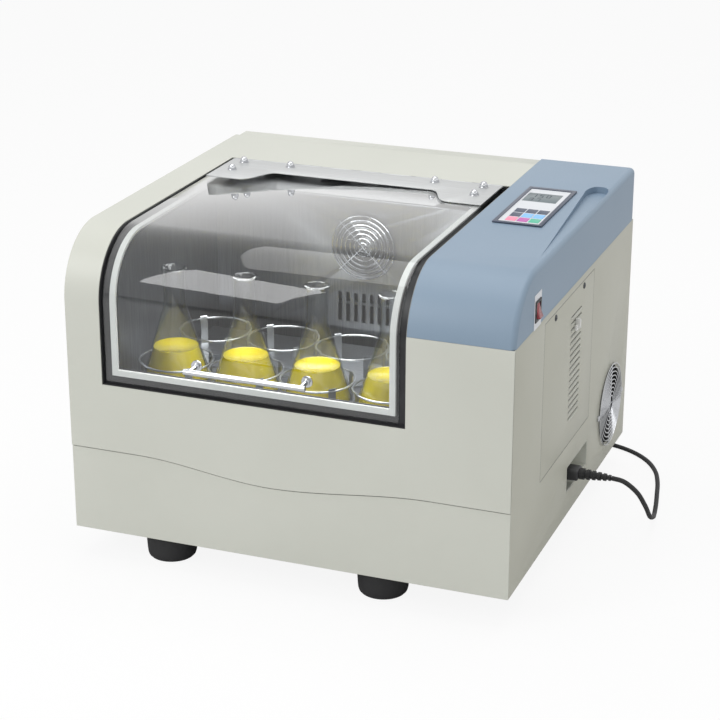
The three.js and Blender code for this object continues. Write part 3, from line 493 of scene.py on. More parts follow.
def turned(profile: list[Point2], axis: Axis, centre: Point3, steps: int = 48,
           closed: bool = False) -> bmesh.types.BMesh:
    """Turns a profile of (radius, distance along the axis) points about an axis.

    Args:
        profile: points from the axis back to the axis, or a loop.
        axis: the direction of the axis.
        centre: a point that the distances are counted from.
        steps: points round the axis.
        closed: True where the profile is a loop.

    Returns:
        The mesh.
    """
    bm = bmesh.new()
    rings: list[list[bmesh.types.BMVert]] = []
    for radius, along in profile:
        count = 1 if radius < 1e-6 else steps
        ring = []
        for i in range(count):
            turn = 2 * math.pi * i / steps
            spot = place(axis, radius * math.cos(turn), radius * math.sin(turn), along)
            ring.append(bm.verts.new(spot + Vector(centre)))
        rings.append(ring)
    pairs = list(zip(rings, rings[1:] + rings[:1]))
    for one, two in pairs if closed else pairs[:-1]:
        for i in range(steps):
            j = (i + 1) % steps
            corners = [one[i % len(one)], one[j % len(one)], two[j % len(two)], two[i % len(two)]]
            unique = list(dict.fromkeys(corners))
            if len(unique) > 2:
                bm.faces.new(unique)
    return bm


def swept(points: list[Vector], radius: float, sides: int = 12, closed: bool = False) -> bmesh.types.BMesh:
    """Sweeps a round wire along a path.

    Args:
        points: the path.
        radius: the wire's radius.
        sides: points round the wire.
        closed: True where the path is a loop.

    Returns:
        The mesh.
    """
    bm = bmesh.new()
    rings = []
    count = len(points)
    normal = None
    for i, spot in enumerate(points):
        before = points[(i - 1) % count] if closed or i else spot
        after = points[(i + 1) % count] if closed or i < count - 1 else spot
        heading = (after - before).normalized()
        if normal is None:
            normal = heading.orthogonal().normalized()
        normal = (normal - heading * normal.dot(heading)).normalized()
        side = heading.cross(normal)
        rings.append([bm.verts.new(spot + radius * (math.cos(t) * normal + math.sin(t) * side))
                      for t in (2 * math.pi * k / sides for k in range(sides))])
    pairs = list(zip(rings, rings[1:] + rings[:1]))
    for one, two in pairs if closed else pairs[:-1]:
        for k in range(sides):
            m = (k + 1) % sides
            bm.faces.new((one[k], one[m], two[m], two[k]))
    if not closed:
        bm.faces.new(rings[0])
        bm.faces.new(list(reversed(rings[-1])))
    return bm


def circle_path(axis: Axis, centre: Point3, radius: float, steps: int = 48) -> list[Vector]:
    """Returns the points of a circle about an axis."""
    return [Vector(centre) + place(axis, radius * math.cos(t), radius * math.sin(t), 0.0)
            for t in (2 * math.pi * i / steps for i in range(steps))]


def carved(base: bmesh.types.BMesh, *tools: bmesh.types.BMesh) -> bmesh.types.BMesh:
    """Cuts tools, which are used up, out of a mesh.

    Args:
        base: the mesh to cut.
        tools: the solids that are taken away.

    Returns:
        The cut mesh.
    """
    scene = bpy.context.scene
    made = []
    for i, part in enumerate((base, *tools)):
        mesh = bpy.data.meshes.new(f"carve_{i}")
        bmesh.ops.recalc_face_normals(part, faces=part.faces)
        part.to_mesh(mesh)
        part.free()
        held = bpy.data.objects.new(f"carve_{i}", mesh)
        scene.collection.objects.link(held)
        made.append(held)
    for tool in made[1:]:
        cut = made[0].modifiers.new("cut", "BOOLEAN")
        cut.operation = "DIFFERENCE"
        cut.solver = "EXACT"
        cut.object = tool
    graph = bpy.context.evaluated_depsgraph_get()
    result = bpy.data.meshes.new_from_object(made[0].evaluated_get(graph))
    whole = bmesh.new()
    whole.from_mesh(result)
    for held in made:
        bpy.data.objects.remove(held)
    return whole


def front_arc(inset: float, steps: int = 24) -> list[Point2]:
    """Returns (y, z) points round the housing's front top corner, from the front face to the top."""
    radius = CORNER - inset
    return [(CORNER - radius * math.cos(t), TOP - CORNER + radius * math.sin(t))
            for t in (math.pi / 2 * i / steps for i in range(steps + 1))]


def skin_outline(outer: float, inner: float, bottom: float, rear: float) -> list[Point2]:
    """Returns the side outline of a bent sheet between two depths below the surface."""
    outside = [(outer, bottom), *front_arc(outer), (rear, TOP - outer)]
    inside = [(inner, bottom), *front_arc(inner), (rear, TOP - inner)]
    return outside + inside[::-1]


def seam(x: float) -> float:
    """Returns the height of the wavy seam across the front at x."""
    if x <= SEAM_START or x >= SEAM_END:
        return SEAM_HIGH
    if x < SEAM_TROUGH:
        share = (x - SEAM_START) / (SEAM_TROUGH - SEAM_START)
    else:
        share = (SEAM_END - x) / (SEAM_END - SEAM_TROUGH)
    return SEAM_HIGH - (SEAM_HIGH - SEAM_LOW) * (3 * share ** 2 - 2 * share ** 3)


def seam_stations() -> list[float]:
    """Returns the places along x where the seam's height is taken."""
    count = math.ceil((SEAM_END - SEAM_START) / SEAM_STEP) + 1
    return [SEAM_START + SEAM_STEP * i for i in range(count)]


# ---------------------------------------------------------------- housing


@dataclass
class Housing:
    """The painted sheet housing on its four rubber feet."""

    sheet: float = 1.5
    opening: tuple[float, float, float, float] = (-268.0, 174.4, 268.0, 447.0)
    cover_left: float = 175.0
    cover_bottom: float = 396.0
    rear_strip: float = 40.0
    feet: dict[str, Point2] = field(default_factory=lambda: {
        "foot_front_left": (-195.0, 53.0), "foot_front_right": (126.0, 53.0),
        "foot_rear_left": (-195.0, 562.0), "foot_rear_right": (126.0, 562.0)})

    def build(self) -> None:
        """Builds and dresses the housing."""
        self.upper_cover()
        self.lower_front()
        for node in ("left_side_panel", "rear_cover", "inlet_recess"):
            dress(node, CREAM)
        # The right side's sheets take the darker cream copy, which is painted shade.
        for node in ("right_side_panel", "service_panel"):
            dress(node, CREAM_SHADED_SIDE, 0.3)
        dress("base_plate", IRON, 0.8)
        self.rubber_feet()

    def upper_cover(self) -> None:
        """Builds the front and top sheet with its wavy lower edge, lid opening and cover cut-out."""
        left, right, bottom, rear = self.opening
        end = DEPTH - self.rear_strip
        low_cover = self.cover_bottom - GAP
        arc = front_arc(0.0, 30)
        stations = [(0.0, None), (0.0, 200.0), (0.0, bottom), (0.0, 330.0), *arc]
        stations += [(rear, TOP), (end, TOP)]
        stations = self.with_height(stations, low_cover)
        xs = sorted({-HALF, left, right, self.cover_left - GAP, HALF, *seam_stations()})
        bm = bmesh.new()
        grid = [[bm.verts.new((x, y, seam(x) if z is None else z)) for y, z in stations] for x in xs]
        for i in range(len(xs) - 1):
            middle = (xs[i] + xs[i + 1]) / 2
            for j in range(len(stations) - 1):
                y0, z0 = stations[j]
                y1, z1 = stations[j + 1]
                low = z0 if z0 is not None else 0.0
                in_opening = left < middle < right and low >= bottom - 0.01 and y1 <= rear + 0.01
                behind_cover = middle > self.cover_left - GAP and low >= low_cover - 0.01
                if in_opening or behind_cover:
                    continue
                bm.faces.new((grid[i][j], grid[i + 1][j], grid[i + 1][j + 1], grid[i][j + 1]))
        loose = [v for v in bm.verts if not v.link_faces]
        bmesh.ops.delete(bm, geom=loose, context="VERTS")
        bmesh.ops.recalc_face_normals(bm, faces=bm.faces)
        self.thicken(bm)
        publish("upper_sheet", bm, CREAM, "housing", ("upper_cover",))

    @staticmethod
    def with_height(stations: list, height: float) -> list:
        """Returns the stations with one more where the arc passes a height."""
        for k in range(len(stations) - 1):
            low, high = stations[k][1], stations[k + 1][1]
            if low is not None and low < height < high:
                share = (height - low) / (high - low)
                y = stations[k][0] + share * (stations[k + 1][0] - stations[k][0])
                return [*stations[:k + 1], (y, height), *stations[k + 1:]]
        return stations

    def thicken(self, bm: bmesh.types.BMesh) -> None:
        """Gives a skin its sheet thickness, inwards, with rounded rims."""
        mass = sum((f.normal * f.calc_area() for f in bm.faces), Vector())
        if mass.y > 0:
            bmesh.ops.reverse_faces(bm, faces=bm.faces)
        bmesh.ops.solidify(bm, geom=list(bm.faces), thickness=self.sheet)
        lowest = min(v.co.y for v in bm.verts)
        if lowest < -0.5:
            for v in bm.verts:
                v.co.y -= lowest
        round_edges(bm, 0.35, 1, 60)

    def lower_front(self) -> None:
        """Builds the lower front sheet, set back a little, under the wavy seam."""
        xs = [-HALF, *seam_stations(), HALF]
        edge = [(x, seam(x) - 1.4) for x in xs]
        outline = [(-HALF, 45.0), (HALF, 45.0), *reversed(edge)]
        bm = prism(outline, Axis.Y, 1.4, 2.9, 0.3, 1)
        publish("lower_sheet", bm, CREAM, "housing", ("lower_front_panel",))

    def rubber_feet(self) -> None:
        """Builds the turned rubber feet."""
        for node, (x, y) in self.feet.items():
            profile = [(0.0, 0.0), (26.0, 0.0), (28.0, 0.2), (31.4, 1.4), (33.6, 3.8), (34.7, 7.5),
                       (35.2, 12.0), (36.0, 26.0), (36.9, 43.0), (36.6, 44.4), (36.0, 44.7), (0.0, 44.7)]
            bm = turned(profile, Axis.Z, (x, y, 0.0), 64)
            publish(f"{node}_rubber", bm, RUBBER, "housing", (node,))


# ---------------------------------------------------------------- control cover


@dataclass
class ControlCover:
    """The blue moulding with its keypad, display, rocker switch and finger scoop."""

    left: float = 175.0
    bottom: float = 396.0
    round_radius: float = 8.0
    panel: tuple[float, float, float, float] = (209.0, 269.0, 271.0, 441.0)
    rim: float = 5.5
    lcd: tuple[float, float, float, float] = (212.0, 262.0, 378.0, 421.0)
    rocker_y: float = 98.0
    rocker_z: float = 419.0

    def build(self) -> None:
        """Builds and dresses the cover and its controls."""
        self.shell()
        self.keypad()
        self.digits()
        self.switch()

    def shell(self) -> None:
        """Builds the moulding, rounded along its right side, with the scoop cut into it."""
        outline = [(0.0, 340.0), *front_arc(0.0, 28), (DEPTH, TOP), (DEPTH, 340.0)]
        bm = prism(outline, Axis.X, self.left - 40, HALF)
        edges = [e for e in bm.edges if all(v.co.x > HALF - 1 for v in e.verts)]
        edges += [e for e in bm.edges if all(v.co.y > DEPTH - 1 and v.co.z > TOP - 1 for v in e.verts)]
        bmesh.ops.bevel(bm, geom=edges, offset=self.round_radius, segments=6, profile=0.5,
                        affect="EDGES", clamp_overlap=True)
        x0, x1, y0, y1 = self.panel
        bm = carved(
            bm,
            block(0, 420, -50, 700, 250, self.bottom, 0),
            block(0, self.left, -50, 700, 250, 600, 0),
            self.scoop(),
            block(x0 + 3, x1 - 3, y0 + 2, y1 - 3, TOP - 30, TOP + 20, 0),
            block(HALF - 30, HALF + 20, self.rocker_y - 10.4, self.rocker_y + 10.4,
                  self.rocker_z - 12.4, self.rocker_z + 12.4, 0))
        publish("cover_moulding", bm, BLUE, "housing", ("control_cover",), 28)

    @staticmethod
    def scoop() -> bmesh.types.BMesh:
        """Returns the scoop's cutter: a narrow front tip that deepens and widens to a round rear."""
        edge = HALF - 4.5
        rear = 490.0
        outside = [(edge - 2, 128.0), (edge, 300.0), (edge, rear - 30)]
        outside += [(edge - 14 + 14 * math.cos(t), rear - 26 + 26 * math.sin(t))
                    for t in (math.pi / 2 * i / 8 for i in range(1, 9))]
        inside = [(edge - 20 - 12 * math.sin(t), rear - 28 + 28 * math.cos(t))
                  for t in (math.pi / 2 * i / 8 for i in range(9))]
        outline = [*outside, *inside, (edge - 5, 128.0)]
        bm = prism(outline, Axis.Z, TOP - 20, TOP + 20)
        for v in bm.verts:
            if v.co.z < TOP:
                share = max(0.0, min(1.0, (v.co.y - 118) / (rear - 118)))
                v.co.z = TOP + 0.6 - 10.0 * share
        return bm

    def keypad(self) -> None:
        """Builds the slate frame, white film, display glass and the nine keys."""
        x0, x1, y0, y1 = self.panel
        r = self.rim
        z = TOP + GAP
        outer = block(x0 - r, x1 + r, y0 - r, y1 + r + 3, z, z + 2.3, 0.9, 3)
        bm = carved(outer, block(x0, x1, y0, y1, z - 3, z + 8, 0))
        publish("keypad_rim", bm, SLATE, "housing", ("keypad_face",))
        film = block(x0 + 0.2, x1 - 0.2, y0 + 0.2, y1 - 0.2, z, z + 1.3, 0)
        holes = []
        for node in KEY_COLORS:
            low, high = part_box(node)
            a = Vector(low) * 1000 - OFFSET
            b = Vector(high) * 1000 - OFFSET
            holes.append(block(a.x - 0.3, b.x + 0.3, a.y - 0.3, b.y + 0.3, z - 3, z + 8, 0))
        lx0, lx1, ly0, ly1 = self.lcd
        holes.append(block(lx0, lx1, ly0, ly1, z - 3, z + 8, 0))
        publish("keypad_film", carved(film, *holes), FILM, "housing")
        glass = block(lx0 + 0.3, lx1 - 0.3, ly0 + 0.3, ly1 - 0.3, z + 0.5, z + 1.25, 0.2)
        publish("display_glass_plate", glass, LCD, "housing")
        for node, color in KEY_COLORS.items():
            tint = tuple(min(1.0, c * 1.25 + 0.01) for c in color)
            dress(node, Finish(f"{node}_film", KEY_SLOTS.get(node, "key_dark"), color, tint,
                               roughness=0.35, grain=1200, relief=0.00002), 0.5)
        dress("display_board", BOARD, 0)

    def digits(self) -> None:
        """Builds two plain rows of seven-segment numbers on the display."""
        lit = {"0": "abcdef", "1": "bc", "2": "abged", "3": "abgcd", "5": "afgcd", "7": "abc", "8": "abcdefg"}
        lx0, _, ly0, ly1 = self.lcd
        z = TOP + 1.5
        bars = []
        for row, text in ((ly1 - 19, "150"), (ly0 + 5, "37")):
            for k, digit in enumerate(text):
                x = lx0 + 8 + k * 10.5
                w, h, t = 6.0, 13.0, 1.3
                spots = {"a": (x, row + h - t, w, t), "g": (x, row + h / 2 - t / 2, w, t),
                         "d": (x, row, w, t),
                         "f": (x, row + h / 2, t, h / 2), "e": (x, row, t, h / 2),
                         "b": (x + w - t, row + h / 2, t, h / 2), "c": (x + w - t, row, t, h / 2)}
                for part in lit[digit]:
                    a, b, dx, dy = spots[part]
                    bars.append(block(a, a + dx, b, b + dy, z, z + 0.15, 0))
        publish("display_digits", joined(*bars), INK, "housing")

    def switch(self) -> None:
        """Dresses the switch and adds its pale surround."""
        y, z = self.rocker_y, self.rocker_z
        outer = prism([(y - 16, z - 24), (y + 16, z - 24), (y + 16, z + 24), (y - 16, z + 24)],
                      Axis.X, HALF, HALF + 0.7, 0.2, 1)
        hole = prism([(y - 12.9, z - 14.9), (y + 12.9, z - 14.9), (y + 12.9, z + 14.9),
                      (y - 12.9, z + 14.9)], Axis.X, HALF - 5, HALF + 5)
        publish("switch_surround", carved(outer, hole), FILM, "housing")
        dress("switch_housing", BLACK, 0.5)
        dress("switch_rocker", RED, 0.8)


# ---------------------------------------------------------------- lid


@dataclass
class Lid:
    """The clear curved lid with its seal, hinge strip, nuts and handle."""

    left: float = -261.0
    right: float = 165.4
    bottom: float = 275.0
    hinge_y: float = 442.0
    hinge_z: float = 475.7
    lap: float = 6.5
    seal_width: float = 9.0
    handle_x: float = -43.0
    handle_span: float = 160.0
    handle_z: float = 315.5
    handle_reach: float = 26.0

    def build(self) -> None:
        """Builds and dresses the lid."""
        rear = self.hinge_y - 4.2
        shell = prism(skin_outline(0.3, 5.0, self.bottom, rear), Axis.X, self.left, self.right, 0.7, 2)
        publish("lid_pane", shell, ACRYLIC, "lid", ("lid_shell",), 28)
        self.seal()
        dress("hinge_strip", STRIP, 0.3)
        dress("hinge_leaf", STEEL, 0.2)
        dress("opening_frame", BLACK, 0.3)
        self.nuts()
        self.handle()

    def seal(self) -> None:
        """Builds the white seal: two bent side runs joined along the bottom."""
        x0, x1, z0 = self.left + self.lap, self.right - self.lap, self.bottom + self.lap
        w = self.seal_width
        runs = [prism(skin_outline(5.3, 9.7, z0, 356.0), Axis.X, a, b, 0.6, 1)
                for a, b in ((x0, x0 + w), (x1 - w, x1))]
        low = block(x0 + w - 0.5, x1 - w + 0.5, 5.3, 9.7, z0, z0 + w, 0.6, 1)
        publish("seal_run", joined(*runs, low), SEAL, "lid", ("lid_seal",))

    def nuts(self) -> None:
        """Builds the domed nuts along the hinge strip."""
        profile = [(0.0, 0.0), (7.0, 0.0), (7.4, 0.5), (7.0, 1.2), (0.0, 1.2)]
        dome = [(0.0, 1.0), (5.4, 1.0), (5.4, 3.8), (4.9, 5.6), (3.6, 7.2), (1.9, 8.1), (0.0, 8.4)]
        spots = [(-239.0, 425.0), (-163.0, 425.0), (66.0, 425.0), (141.0, 425.0),
                 (-239.0, 381.0), (141.0, 381.0)]
        for i, (x, y) in enumerate(spots):
            base = (x, y, TOP + 1.5)
            hexagon = [(x + 6.4 * math.cos(math.pi / 3 * k), y + 6.4 * math.sin(math.pi / 3 * k))
                       for k in range(6)]
            bm = joined(turned(profile, Axis.Z, base, 32), turned(dome, Axis.Z, base, 32),
                        prism(hexagon, Axis.Z, TOP + 2.5, TOP + 5.3, 0.4, 1))
            publish(f"domed_nut_{i + 1}", bm, CHROME, "lid")

    def handle(self) -> None:
        """Builds the bar handle with its stepped posts."""
        half = self.handle_span / 2
        y, z = -self.handle_reach, self.handle_z
        parts = []
        bar = [(0.0, -half - 8), (3.2, -half - 8), (4.0, -half - 7.2), (4.0, half + 7.2),
               (3.2, half + 8), (0.0, half + 8)]
        parts.append(turned(bar, Axis.X, (self.handle_x, y, z), 32))
        post = [(0.0, -0.1), (8.0, -0.1), (8.0, -1.6), (7.4, -2.2), (5.0, -2.2), (4.6, -4.0),
                (3.4, -5.0), (3.4, -24.0), (0.0, -24.0)]
        for side in (-half, half):
            parts.append(turned(post, Axis.Y, (self.handle_x + side, 0.0, z), 32))
        publish("bar_handle", joined(*parts), CHROME, "lid", ("lid_handle",))


# ---------------------------------------------------------------- chamber and load


@dataclass
class Chamber:
    """The stainless chamber with its duct wall, fan, heater and the drive beneath."""

    fan_x: float = -60.0
    fan_z: float = 352.0
    grille_y: float = 461.5

    def build(self) -> None:
        """Dresses the chamber's solids."""
        for node in ("chamber_liner", "chamber_rear_wall"):
            dress(node, CHAMBER, 0.3)
        dress("circulation_rotor", STEEL, 0.2)
        dress("circulation_motor", IRON, 0.6)
        dress("air_heater", STEEL, 0)
        for node in ("bearing_housing", "drive_crank", "idler_crank_left", "idler_crank_right",
                     "drive_motor"):
            dress(node, IRON, 0.5)
        dress("motor_pulley", STEEL, 0.4)
        dress("drive_belt", RUBBER, 0.3)
        centre = (self.fan_x, self.grille_y, self.fan_z)
        rings = [swept(circle_path(Axis.Y, centre, 7.0 + 7.2 * k, 56), 1.1, 8, True) for k in range(7)]
        hub = Vector(centre)
        spokes = [swept([hub, hub + place(Axis.Y, 54 * math.cos(t), 54 * math.sin(t), 0)], 1.1, 8)
                  for t in (math.pi * (k + 0.5) / 2 for k in range(4))]
        publish("duct_grille", joined(*rings, *spokes), CHROME, "housing")


@dataclass
class FlaskLoad:
    """The platform with its spring clamps and the four filled conical flasks."""

    top: float = 205.0
    columns: tuple[float, ...] = (-240.0, -130.0, -20.0, 90.0)
    flask_y: float = 176.0
    rear_y: float = 312.0
    small_y: float = 78.0
    base: float = 50.0
    neck: float = 16.0
    height: float = 180.0
    fill: float = 62.0

    def build(self) -> None:
        """Builds and dresses the platform, clamps and flasks."""
        dress("platform_plate", CHAMBER, 0.4)
        between = [x - 55 for x in self.columns[1:]]
        self.clamp_row("clamps_front", between, self.small_y, 30.0, 32.0, "clamp_row_front")
        self.clamp_row("clamps_middle", list(self.columns), self.flask_y, 51.0, 46.0, "clamp_row_flasks")
        self.clamp_row("clamps_rear", list(self.columns), self.rear_y, 51.0, 46.0, "clamp_row_rear")
        for i, x in enumerate(self.columns):
            self.flask(i + 1, x)

    def clamp_row(self, name: str, xs: list[float], y: float, inner: float, high: float, node: str) -> None:
        """Builds a row of spring clamps on its rail.

        Args:
            name: the row's name.
            xs: the clamps' places along the rail.
            y: the rail's place.
            inner: radius inside the leaves.
            high: height of the leaves.
            node: the solid it stands for.
        """
        z = self.top + 0.3
        parts = [block(xs[0] - 20, xs[-1] + 20, y - 10, y + 10, z, z + 1.5, 0.3, 1)]
        for x in xs:
            disc = [(0.0, 0.0), (inner + 1, 0.0), (inner + 1.2, 1.0), (inner + 1, 2.0), (0.0, 2.0)]
            parts.append(turned(disc, Axis.Z, (x, y, z), 48))
            ring = circle_path(Axis.Z, (x, y, z + high * 0.92), inner + 2.2, 56)
            for k, spot in enumerate(ring):
                spot.z += 0.5 * math.sin(k * math.pi * 4 / 56)
            parts.append(swept(ring, 1.5, 10, True))
            for k in range(4):
                parts.append(self.leaf(x, y, z, inner, high, (k + 0.5) * math.pi / 2))
        publish(name, joined(*parts), STEEL, "platform", (node,))

    @staticmethod
    def leaf(x: float, y: float, z: float, inner: float, high: float, turn: float) -> bmesh.types.BMesh:
        """Returns one upright leaf with a flared tip."""
        path = [(0.0, 0.4), (0.4, 2.0), (0.2, high * 0.3), (0.0, high * 0.8), (0.9, high * 0.9),
                (0.6, high * 0.97), (1.8, high)]
        bm = bmesh.new()
        rings = []
        for out, up in path:
            ring = []
            for depth, side in ((0.0, -5.5), (0.0, 5.5), (1.1, 5.5), (1.1, -5.5)):
                r = inner + out + depth
                dx = r * math.cos(turn) - side * math.sin(turn)
                dy = r * math.sin(turn) + side * math.cos(turn)
                ring.append(bm.verts.new((x + dx, y + dy, z + up)))
            rings.append(ring)
        for one, two in zip(rings, rings[1:]):
            for i in range(4):
                j = (i + 1) % 4
                bm.faces.new((one[i], one[j], two[j], two[i]))
        bm.faces.new(rings[0])
        bm.faces.new(list(reversed(rings[-1])))
        return bm

    def flask(self, number: int, x: float) -> None:
        """Builds one conical flask with its liquid.

        Args:
            number: the flask's number.
            x: its place.
        """
        z = self.top + 2.6
        b, n, h = self.base, self.neck, self.height
        outside = [(0.0, 0.6), (b - 12, 0.0), (b - 6, 0.6), (b - 2, 3.4), (b, 9.0), (b - 0.6, 15.0),
                   (b - 2.2, 20.0), (n + 4.5, 110.0), (n + 1.6, 118.0), (n + 0.3, 126.0), (n, 134.0),
                   (n, h - 8), (n + 0.8, h - 5.5), (n + 2.2, h - 4), (n + 2.6, h - 2.2), (n + 1.6, h - 0.4),
                   (n - 0.4, h)]
        wall = 1.6
        inside = [(n - wall, h - 1.6), (n - wall, 134.0), (n + 0.2 - wall, 124.0),
                  (n + 3.4 - wall, 112.0), (b - 3.0 - wall, 19.0), (b - 0.8 - wall, 13.0),
                  (b - 3.6 - wall, 5.2), (b - 12, 2.6), (0.0, 2.8)]
        glass = turned(outside + inside, Axis.Z, (x, self.flask_y, z), 56)
        publish(f"flask_glass_{number}", glass, GLASS, "platform", (f"flask_{number}",), 40)
        level = self.fill
        slope = (b - 3.0 - (n + 3.4)) / (112.0 - 19.0)
        at_level = b - 3.0 - slope * (level - 19.0) - wall - 0.3
        liquid = [(0.0, 3.2), (b - 13, 3.0), (b - 5.6 - wall, 5.8), (b - 1.2 - wall, 13.0),
                  (b - 3.4 - wall, 19.4), (at_level, level - 0.8), (at_level - 1.2, level - 1.4),
                  (0.0, level - 1.5)]
        bm = turned(liquid, Axis.Z, (x, self.flask_y, z), 56)
        publish(f"liquid_{number}", bm, LIQUID, "platform", (), 40)


# ---------------------------------------------------------------- right side


@dataclass
class RightSide:
    """Fan guard, fan, service panel fittings, mains inlet and its connector."""

    fan_y: float = 515.0
    fan_z: float = 131.0
    guard: float = 64.0
    slot_low: float = 196.0
    slot_pitch: float = 9.5
    slots: int = 17
    slot_front: float = 272.0
    slot_rear: float = 326.0
    inlet_y: float = 308.0
    inlet_z: float = 103.0
    panel: tuple[float, float, float, float] = (139.0, 390.0, 158.0, 385.0)

    def build(self) -> None:
        """Builds and dresses everything on the right side."""
        dress("side_fan_frame", BLACK, 0.4)
        dress("side_fan_rotor", BLACK, 0.3)
        dress("power_inlet", BLACK, 0.4)
        self.fan_guard()
        self.hub_disc()
        self.louvres()
        self.fittings()
        self.connector()

    def fan_guard(self) -> None:
        """Builds the wire guard with its bar and two fixing tabs."""
        x = HALF + 2.6
        centre = (x, self.fan_y, self.fan_z)
        parts = [swept(circle_path(Axis.X, centre, r, 72), 1.0, 8, True)
                 for r in [self.guard - 1 - 6.2 * k for k in range(9)]]
        for dy, dz in ((1.0, -0.03), (0.03, 1.0)):
            reach = self.guard + 4 if dy > 0.5 else self.guard - 1
            ends = [Vector((x - 1.2, self.fan_y + s * reach * dy, self.fan_z + s * reach * dz))
                    for s in (-1, 1)]
            parts.append(swept(ends, 1.1, 8))
        for s in (-1, 1):
            spot = (HALF + 0.3, self.fan_y + s * (self.guard + 5), self.fan_z - s * 2)
            tab = [(0.0, 0.0), (4.6, 0.0), (4.6, 2.2), (3.0, 3.2), (0.0, 3.4)]
            parts.append(turned(tab, Axis.X, spot, 24))
        publish("wire_guard", joined(*parts), CHROME, "housing", ("side_fan_guard",))

    def hub_disc(self) -> None:
        """Builds the bright spun disc on the fan's hub."""
        profile = [(0.0, 0.0), (22.0, 0.0), (25.0, 0.4), (25.4, 1.2), (24.6, 1.9), (9.0, 2.6),
                   (7.6, 2.2), (4.0, 2.5), (0.0, 3.1)]
        bm = turned(profile, Axis.X, (HALF - 6.5, self.fan_y, self.fan_z), 64)
        publish("fan_hub_disc", bm, CHROME, "side_fan")

    def louvres(self) -> None:
        """Builds a turned-out lip under each slot, a black sheet of painted shade behind the slots, black
        strips of painted shade in the groove round the service panel, and the panel's latch.
        """
        parts = []
        for i in range(self.slots):
            z = self.slot_low + i * self.slot_pitch
            outline = [(HALF - 1.3, z + 0.1), (HALF + 1.2, z - 0.7), (HALF + 1.5, z + 0.1),
                       (HALF - 1.1, z + 1.1)]
            parts.append(prism(outline, Axis.Y, self.slot_front + 0.5, self.slot_rear - 0.5, 0.2, 1))
        publish("louvre_lips", joined(*parts), CREAM, "housing")
        # A black sheet just behind the slots: painted shade of the housing's inside, seen through the slots.
        back = prism([(self.slot_front - 8, self.slot_low - 10), (self.slot_rear + 8, self.slot_low - 10),
                      (self.slot_rear + 8, self.slot_low + 168), (self.slot_front - 8, self.slot_low + 168)],
                     Axis.X, HALF - 6, HALF - 5, 0.2, 1)
        publish("louvre_shade_sheet", back, BLACK, "housing")
        y0, y1, z0, z1 = self.panel
        # Black strips in the groove round the service panel: painted shade in the groove.
        runs = [block(HALF - 1.2, HALF - 0.1, a, b, c, d, 0) for a, b, c, d in (
            (y0 - 0.7, y0 - 0.1, z0 - 0.7, z1 + 0.7), (y1 + 0.1, y1 + 0.7, z0 - 0.7, z1 + 0.7),
            (y0 - 0.7, y1 + 0.7, z0 - 0.7, z0 - 0.1), (y0 - 0.7, y1 + 0.7, z1 + 0.1, z1 + 0.7))]
        publish("panel_gap_shade", joined(*runs), BLACK, "housing")
        latch = joined(block(HALF, HALF + 4.5, 287, 301, 326, 334, 1.2),
                       block(HALF, HALF + 8, 292, 297, 329, 343, 1.5))
        publish("panel_latch", latch, SEAL, "housing")

    def fittings(self) -> None:
        """Builds the two slotted screws of the service panel."""
        for i, (y, z) in enumerate(((189.0, 378.0), (334.0, 378.0))):
            head = [(0.0, 0.0), (4.6, 0.0), (4.4, 1.0), (3.0, 1.7), (0.0, 1.9)]
            bm = turned(head, Axis.X, (HALF, y, z), 32)
            slot = prism([(y - 6, z - 0.6), (y + 6, z - 0.6), (y + 6, z + 0.6), (y - 6, z + 0.6)],
                         Axis.X, HALF + 0.8, HALF + 4)
            publish(f"panel_screw_{i + 1}", carved(bm, slot), IRON, "housing")

    def connector(self) -> None:
        """Builds the mains connector with its ribbed, tapered boot."""
        y, z = self.inlet_y, self.inlet_z
        low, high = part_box("cord_connector")
        start = low[0] * 1000 - OFFSET.x
        end = high[0] * 1000 - OFFSET.x
        outline = [(start + 14.6, z - 8.6), (HALF + 12, z - 8.0), (HALF + 12, z + 8.0),
                   (start + 14.6, z + 8.6)]
        grip = prism(outline, Axis.Y, y - 12.6, y + 12.6, 3.0, 3)
        nose = block(start, start + 15, y - 11.4, y + 11.4, z - 7.4, z + 7.4, 1.0)
        profile: list[Point2] = [(0.0, 0.0), (8.4, 0.0)]
        ribs = 5
        span = end - HALF - 12
        for k in range(ribs):
            a = 3 + (span - 6) * k / ribs
            r = 8.4 - 3.6 * k / ribs
            step = (span - 6) / ribs
            profile += [(r, a), (r, a + step * 0.55), (r - 2.0, a + step * 0.62), (r - 2.0, a + step * 0.95)]
        profile += [(4.6, span - 3), (4.4, span), (0.0, span)]
        boot = turned(profile, Axis.X, (HALF + 12, y, z), 40)
        publish("connector_body", joined(grip, nose, boot), BLACK, "housing", ("cord_connector",))


# ---------------------------------------------------------------- mains cord


